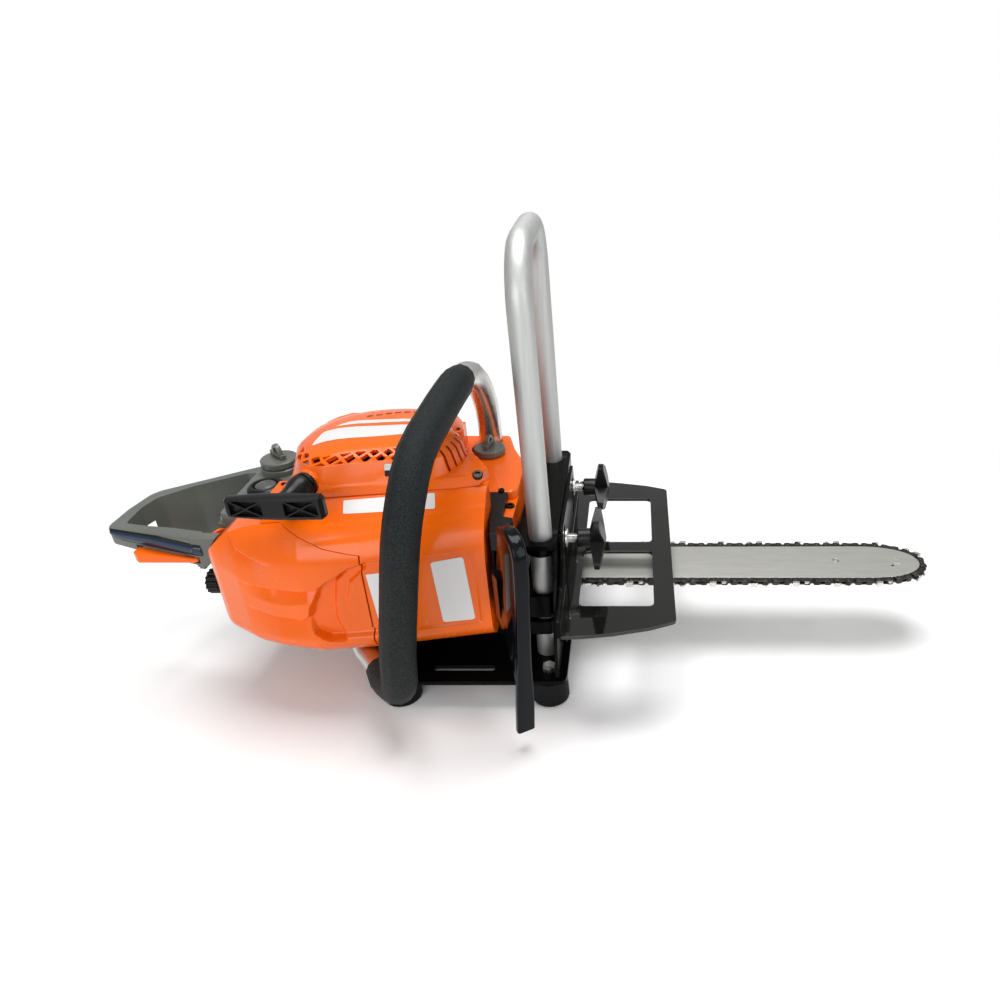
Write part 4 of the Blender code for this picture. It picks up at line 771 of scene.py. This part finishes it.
def add_far_faces():
    """Stiffening ribs and screws on the saw's far faces, its underside in use."""
    upright = Matrix.Rotation(-math.pi / 2, 4, "X")
    for k, (x0, x1, y, mat, slot, levels) in enumerate(FAR_FACES):
        bm = bmesh.new()
        for z in levels:
            low, high = z - RIB_HALF, z + RIB_HALF
            outline = [(x0, low), (x1, low), (x1 + RIB_POINT, z), (x1, high), (x0, high),
                       (x0 - RIB_POINT, z)]
            add_prism(bm, [(x, -v) for x, v in outline], y - RIB_SUNK, y + RIB_RISE, upright)
        piece("far_ribs_%d" % k, bm, mat, bevel=0.4)
        for x in (x0 + FAR_SCREW_IN, x1 - FAR_SCREW_IN):
            place = (x, y, levels[-1] - FAR_SCREW_DOWN)
            socket_screw("far_screw_%d_%d" % (k, x - x0), place, AWAY, 3.4, 1.6, BLACK)


# Fittings: places in millimetres, the flange's holes and the wall behind the oil cap
BOSSES = (("far_boss", (-153.3, 14.9, 198.0), 5.0), ("near_boss", (-274.5, -64.1, 186.5), 4.4))
FLANGE_HOLES = ((-65.5, -64.9, 146.0), (-69.1, 72.5, 146.0))
HOLE_RIM = [(3.4, 0.0), (3.3, 0.25), (2.6, 0.25), (2.4, 0.05), (0, 0.05)]
OIL_CAP, WALL_RADII, WALL_Z, WALL_DEGREES = (-131.0, 31.0, 0.0), (18.6, 15.4), (168, 175), (80, 220)


def add_fasteners():
    """Housing screws, the dome's two bosses, black discs painted as the shade in the flange's holes
    and the wall behind the oil cap.
    """
    socket_screw("cover_screw_front", (-122.2, -64.2, 197.6), (0.1, -0.45, 0.89), 4.1, 1.6, BLACK)
    socket_screw("post_bolt", (-101.5, -51.5, 162.0), UP, 3.6, 2.0, BLACK)
    socket_screw("tank_screw", (-110.0, -39.0, 170.0), UP, 2.6, 1.4, BLACK)
    for name, spot, radius in BOSSES:
        bm = bmesh.new()
        add_lathe(bm, [(0, -4), (radius, -4), (radius, 2.4), (radius - 0.8, 3.0), (0, 3.0)],
                  frame_at(spot, UP))
        piece(name, bm, ORANGE)
        top = Vector(spot) + Vector((0, 0, 3.0))
        socket_screw(name + "_screw", top, UP, 2.4, 0.8, BLACK)
    # Black discs of painted shade in the flange's holes, each with a low rim.
    bm = bmesh.new()
    for spot in FLANGE_HOLES:
        add_lathe(bm, HOLE_RIM, frame_at(spot, UP), 32)
    piece("flange_hole_shades", bm, BLACK)
    bm = bmesh.new()
    turns = [degrees / 360 for degrees in ladder(*WALL_DEGREES, 14)]
    outer, inner = ([around(radius, turn) for turn in turns] for radius in WALL_RADII)
    add_prism(bm, outer + inner[::-1], *WALL_Z, Matrix.Translation(OIL_CAP))
    piece("oil_cap_wall", bm, ORANGE, bevel=0.6)


# Clamp studs: M8, with the thread between the two places along x
STUD_R, STUD_Y, STUD_Z = 4.0, 45.0, 128.0
THREAD_PITCH, THREAD_DEPTH, THREAD_X, THREAD_CLEARANCE = 1.25, 0.65, (-66.4, -35.0), 0.02
THREAD_SIDES, ROWS_PER_PITCH = 24, 6
STUD_SHOULDER = [(0, -70.5), (7.0, -70.5), (8.5, -68.5), (8.5, -66.4), (0, -66.4)]


def add_threads():
    """Cut M8 threads on the studs between their shoulders and the knobs."""
    for side, y in (("near", -STUD_Y), ("far", STUD_Y)):
        bm = bmesh.new()
        start, end = THREAD_X
        rows = round((end - start) / THREAD_PITCH * ROWS_PER_PITCH)
        rings = []
        for j, x in enumerate(ladder(start, end, rows)):
            ring = []
            for i in range(THREAD_SIDES):
                phase = (j / ROWS_PER_PITCH - i / THREAD_SIDES) % 1.0
                radius = STUD_R - THREAD_CLEARANCE - THREAD_DEPTH * (1 - abs(2 * phase - 1))
                across, rise = around(radius, i / THREAD_SIDES)
                ring.append(bm.verts.new((x, y + across, STUD_Z + rise)))
            rings.append(ring)
        add_tube(bm, rings)
        lengthwise = Matrix.Rotation(math.pi / 2, 4, "Y")
        add_lathe(bm, STUD_SHOULDER, Matrix.Translation((0, y, STUD_Z)) @ lengthwise, 28)
        rod = piece("stud_thread_" + side, bm, ZINC, smooth=math.radians(70))
        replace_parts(rod, "stud_" + side)


# Saw chain
BAR_Z, BAR_HALF, BAR_THICK, BAR_TAIL_X, BAR_NOSE_X = 71.6, 26.0, 4.0, -150.0, 264.0
NOSE_LENGTH, NOSE_POWER = 52.0, 0.86
CHAIN_PITCH = 9.32
RIVET_GAP, SPROCKET_LINE = 3.2, 21.0
CRANK_X, CRANK_Y = -205.0, -9.0
# Link outlines: X from one rivet to the next, Y away from the bar
STRAP = [(-3.6, -1.2), (-2.9, -3.0), (1.6, -3.1), (3.2, -2.3), (6.1, -2.3), (7.7, -3.1),
         (12.2, -3.0), (12.9, -1.2), (12.7, 1.4), (11.6, 2.7), (8.2, 2.8), (6.6, 1.9), (2.7, 1.9),
         (1.1, 2.8), (-2.3, 2.7), (-3.4, 1.4)]
DRIVE = [(-3.4, 0.0), (-2.8, -2.2), (1.8, -2.8), (7.5, -2.8), (12.1, -2.2), (12.7, 0.0),
         (12.0, 2.4), (9.6, 2.9), (4.6, 2.2), (-0.3, 2.9), (-2.7, 2.4)]
CUTTER = [(-3.4, -1.6), (-2.6, -3.1), (11.9, -3.1), (12.7, -1.6), (12.9, 2.6), (7.0, 2.6),
          (5.6, 1.4), (3.9, 1.6), (2.9, 2.6), (-2.4, 2.6), (-3.2, 1.0)]
GAUGE = [(-2.2, 2.6), (2.9, 2.6), (2.5, 4.7), (0.8, 5.3), (-1.0, 4.4)]
TOOTH = [(7.0, 2.6), (12.9, 2.6), (13.6, 5.9), (7.7, 5.6)]
TOP_PLATE = [(7.5, 4.8), (13.4, 5.1), (13.7, 6.0), (7.7, 5.7)]
DRIVE_HALF, STRAP_INNER, STRAP_OUTER, TOP_PLATE_REACH = 0.7, 0.9, 2.2, 1.8
RIVET_HEAD = [(1.7, 2.1), (1.7, 2.35), (1.2, 2.55), (0, 2.6)]
# Of every eight links, the first has its cutter below and the fifth above
CUTTER_CYCLE, CUTTER_SIDES = 8, {0: -1, 4: 1}


def rivet_line():
    """Closed line through the rivets: bar edges, nose and sprocket."""
    nose, half = NOSE_LENGTH + RIVET_GAP, BAR_HALF + RIVET_GAP
    start = BAR_NOSE_X + RIVET_GAP - nose
    points = [Vector((BAR_TAIL_X, half, 0))]
    for degrees in range(90, -91, -5):
        turn = math.radians(degrees)
        reach = nose * abs(math.cos(turn)) ** NOSE_POWER
        points.append(Vector((start + reach, half * math.sin(turn), 0)))
    points.append(Vector((BAR_TAIL_X, -half, 0)))
    for degrees in range(-93, -255, -8):
        x, y = around(SPROCKET_LINE, degrees / 360)
        points.append(Vector((CRANK_X + x, CRANK_Y + y, 0)))
    points.append(points[0].copy())
    return points


def rivets():
    """Evenly spaced rivets, in whole groups of four links."""
    line = rivet_line()
    lengths = [0.0]
    for a, b in zip(line, line[1:]):
        lengths.append(lengths[-1] + (b - a).length)
    count = 4 * round(lengths[-1] / CHAIN_PITCH / 4)
    out = []
    leg = 0
    for k in range(count):
        goal = lengths[-1] * k / count
        while lengths[leg + 1] < goal:
            leg += 1
        share = (goal - lengths[leg]) / (lengths[leg + 1] - lengths[leg])
        out.append(line[leg].lerp(line[leg + 1], share))
    return out


def link_frame(here, there):
    """Local X runs to the next rivet, Y away from the bar and Z up."""
    run = (there - here).normalized()
    out = Vector((-run.y, run.x, 0))
    turn = Matrix((run, out, Vector(UP))).transposed().to_4x4()
    return Matrix.Translation(here + Vector((0, 0, BAR_Z))) @ turn


def add_chain():
    """Drive links between side straps, cutters on either side in turn, a rivet at each joint."""
    dark, bright = bmesh.new(), bmesh.new()
    points = rivets()
    for k, here in enumerate(points):
        place = link_frame(here, points[(k + 1) % len(points)])
        for side in (-1, 1):
            flip = Matrix.Scale(side, 4, UP)
            add_lathe(dark, RIVET_HEAD, Matrix.Translation(here + Vector((0, 0, BAR_Z))) @ flip, 12)
        if k % 2 == 1:
            add_prism(dark, DRIVE, -DRIVE_HALF, DRIVE_HALF, place)
            continue
        cutting = CUTTER_SIDES.get(k % CUTTER_CYCLE, 0)
        for side in (-1, 1):
            low, high = sorted((side * STRAP_INNER, side * STRAP_OUTER))
            if side != cutting:
                add_prism(dark, STRAP, low, high, place)
                continue
            add_prism(dark, CUTTER, low, high, place)
            add_prism(bright, GAUGE, low, high, place)
            add_prism(bright, TOOTH, low, high, place)
            low, high = sorted((side * STRAP_INNER, -side * TOP_PLATE_REACH))
            add_prism(bright, TOP_PLATE, low, high, place)
    links = piece("chain_links", dark, CHAIN_STEEL, bevel=0.15)
    piece("chain_cutters", bright, CUTTER_STEEL, bevel=0.12)
    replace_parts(links, "saw_chain")


def add_bar_details():
    """The nose bearing's ring and a black disc painted as the shade in the oil hole, on both faces
    of the bar.
    """
    for face, sign in (("upper", 1), ("lower", -1)):
        top = BAR_Z + sign * BAR_THICK / 2
        axis = (0, 0, sign)
        bm = bmesh.new()
        ring = [(3.3, 0.0), (3.4, 0.12), (4.2, 0.12), (4.3, 0.0)]
        add_lathe(bm, ring, frame_at((243.8, 0.7, top), axis), 36)
        piece("bar_nose_ring_" + face, bm, ZINC)
        # A black disc of painted shade where the oil hole is.
        bm = bmesh.new()
        add_lathe(bm, [(1.3, 0.03), (0, 0.04)], frame_at((237.7, -6.4, top), axis), 16)
        piece("bar_oil_hole_shade_" + face, bm, BLACK)


# Starter rope: it starts on the reel, inside the eyelet, and ends in the grip
ROPE_EXIT = Vector((-249.0, -86.1, 200.0))
PULL = Vector((-0.316, -0.948, -0.03)).normalized()
ROPE_START, ROPE_END, ROPE_R, ROPE_RINGS, ROPE_SIDES = -11.8, -1.2, 1.75, 40, 12


def add_rope():
    """Braided rope between the reel and the grip."""
    bm = bmesh.new()
    side = Vector((-PULL.y, PULL.x, 0)).normalized()
    up = side.cross(PULL)
    loops = []
    for along in ladder(ROPE_START, ROPE_END, ROPE_RINGS):
        centre = ROPE_EXIT + PULL * along
        loop = []
        for i in range(ROPE_SIDES):
            x, y = around(ROPE_R, i / ROPE_SIDES)
            loop.append(bm.verts.new(centre + side * x + up * y))
        loops.append(loop)
    add_tube(bm, loops)
    rope = piece("starter_rope_line", bm, ROPE, body=None,
                 smooth=math.radians(60))
    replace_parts(rope, "starter_rope")
    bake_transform(rope)


# Camera, light and floor
SENSOR, LENS, SHIFT_X, NEAR_CLIP = 36.0, 27.468, -0.135, 0.01
CAMERA_PLACE, CAMERA_TURN = (0.0, -590.0, 471.6), math.radians(60.6)
WORLD_LIGHT, WORLD_MIRRORED = 0.30, 0.52
FLOOR_RADIUS, FLOOR_SHADOW, FLOOR_WHITE = 8.0, 0.40, 0.70
AIM = (0.0, 0.0, 0.1)
# Name, place, size and power, in metres and watts
LAMPS = (("key", (-0.45, -1.6, 0.85), (1.2, 0.9), 13.0),
         ("fill", (1.2, -0.9, 0.7), (0.8, 0.8), 6.0),
         ("top", (0.05, 0.22, 1.65), (1.1, 0.8), 24.0))


def add_camera():
    """The photograph's own viewpoint: 29.4 degrees down, looking along +Y."""
    data = bpy.data.cameras.new("camera")
    data.sensor_width = SENSOR
    data.lens = LENS
    data.shift_x = SHIFT_X
    data.clip_start = NEAR_CLIP
    camera = bpy.data.objects.new("camera", data)
    camera.location = at(*CAMERA_PLACE)
    camera.rotation_euler = (CAMERA_TURN, 0.0, 0.0)
    bpy.context.scene.collection.objects.link(camera)
    bpy.context.scene.camera = camera


def area_light(name, place, size, power):
    data = bpy.data.lights.new(name, "AREA")
    data.shape = "RECTANGLE"
    data.size, data.size_y = size
    data.energy = power
    lamp = bpy.data.objects.new(name, data)
    lamp.location = place
    lamp.rotation_euler = (Vector(AIM) - Vector(place)).to_track_quat("-Z", "Y").to_euler()
    bpy.context.scene.collection.objects.link(lamp)


def add_world():
    """White to the camera, dimmer in reflections and dimmer still as light on the object."""
    world = bpy.data.worlds.new("studio")
    bpy.context.scene.world = world
    world.use_nodes = True
    tree = world.node_tree
    back = tree.nodes["Background"]
    back.inputs["Color"].default_value = (1.0, 1.0, 1.0, 1.0)
    path = tree.nodes.new("ShaderNodeLightPath")
    seen = remap(tree, path.outputs["Is Camera Ray"], WORLD_LIGHT, 1.0, 0.0, 1.0)
    mirrored = remap(tree, path.outputs["Is Glossy Ray"], WORLD_LIGHT, WORLD_MIRRORED, 0.0, 1.0)
    tree.links.new(math_node(tree, "MAXIMUM", seen, mirrored), back.inputs["Strength"])


def add_floor():
    """A pale floor that keeps the shadow near the object and turns plain white further out."""
    bm = bmesh.new()
    bmesh.ops.create_circle(bm, cap_ends=True, radius=FLOOR_RADIUS, segments=64)
    mesh = bpy.data.meshes.new("floor")
    bm.to_mesh(mesh)
    bm.free()
    floor = bpy.data.objects.new("floor", mesh)
    mat = surface("pale_floor", ((0.97, 0.97, 0.97), (0.99, 0.99, 0.99)), (0.8, 0.9), 30.0,
                  (0.01, 0.0001), specular=0.0)
    tree = mat.node_tree
    coords = tree.nodes.new("ShaderNodeTexCoord")
    length = tree.nodes.new("ShaderNodeVectorMath")
    length.operation = "LENGTH"
    tree.links.new(coords.outputs["Object"], length.inputs[0])
    away = remap(tree, length.outputs["Value"], 0.0, 1.0, FLOOR_SHADOW, FLOOR_WHITE)
    seen = tree.nodes.new("ShaderNodeLightPath").outputs["Is Camera Ray"]
    white = tree.nodes.new("ShaderNodeEmission")
    white.inputs["Strength"].default_value = 1.0
    mix = tree.nodes.new("ShaderNodeMixShader")
    tree.links.new(math_node(tree, "MULTIPLY", away, seen), mix.inputs[0])
    tree.links.new(tree.nodes["Principled BSDF"].outputs[0], mix.inputs[1])
    tree.links.new(white.outputs[0], mix.inputs[2])
    tree.links.new(mix.outputs[0], tree.nodes["Material Output"].inputs["Surface"])
    mesh.materials.append(mat)
    bpy.context.scene.collection.objects.link(floor)


dress_nodes()
add_labels(*add_shrouds())
add_grip_stripe()
add_primer()
add_guard()
add_muffler()
add_far_faces()
add_fasteners()
add_threads()
add_chain()
add_bar_details()
add_rope()
add_camera()
add_world()
add_floor()
for lamp in LAMPS:
    area_light(*lamp)
bpy.context.scene.view_settings.view_transform = "Standard"
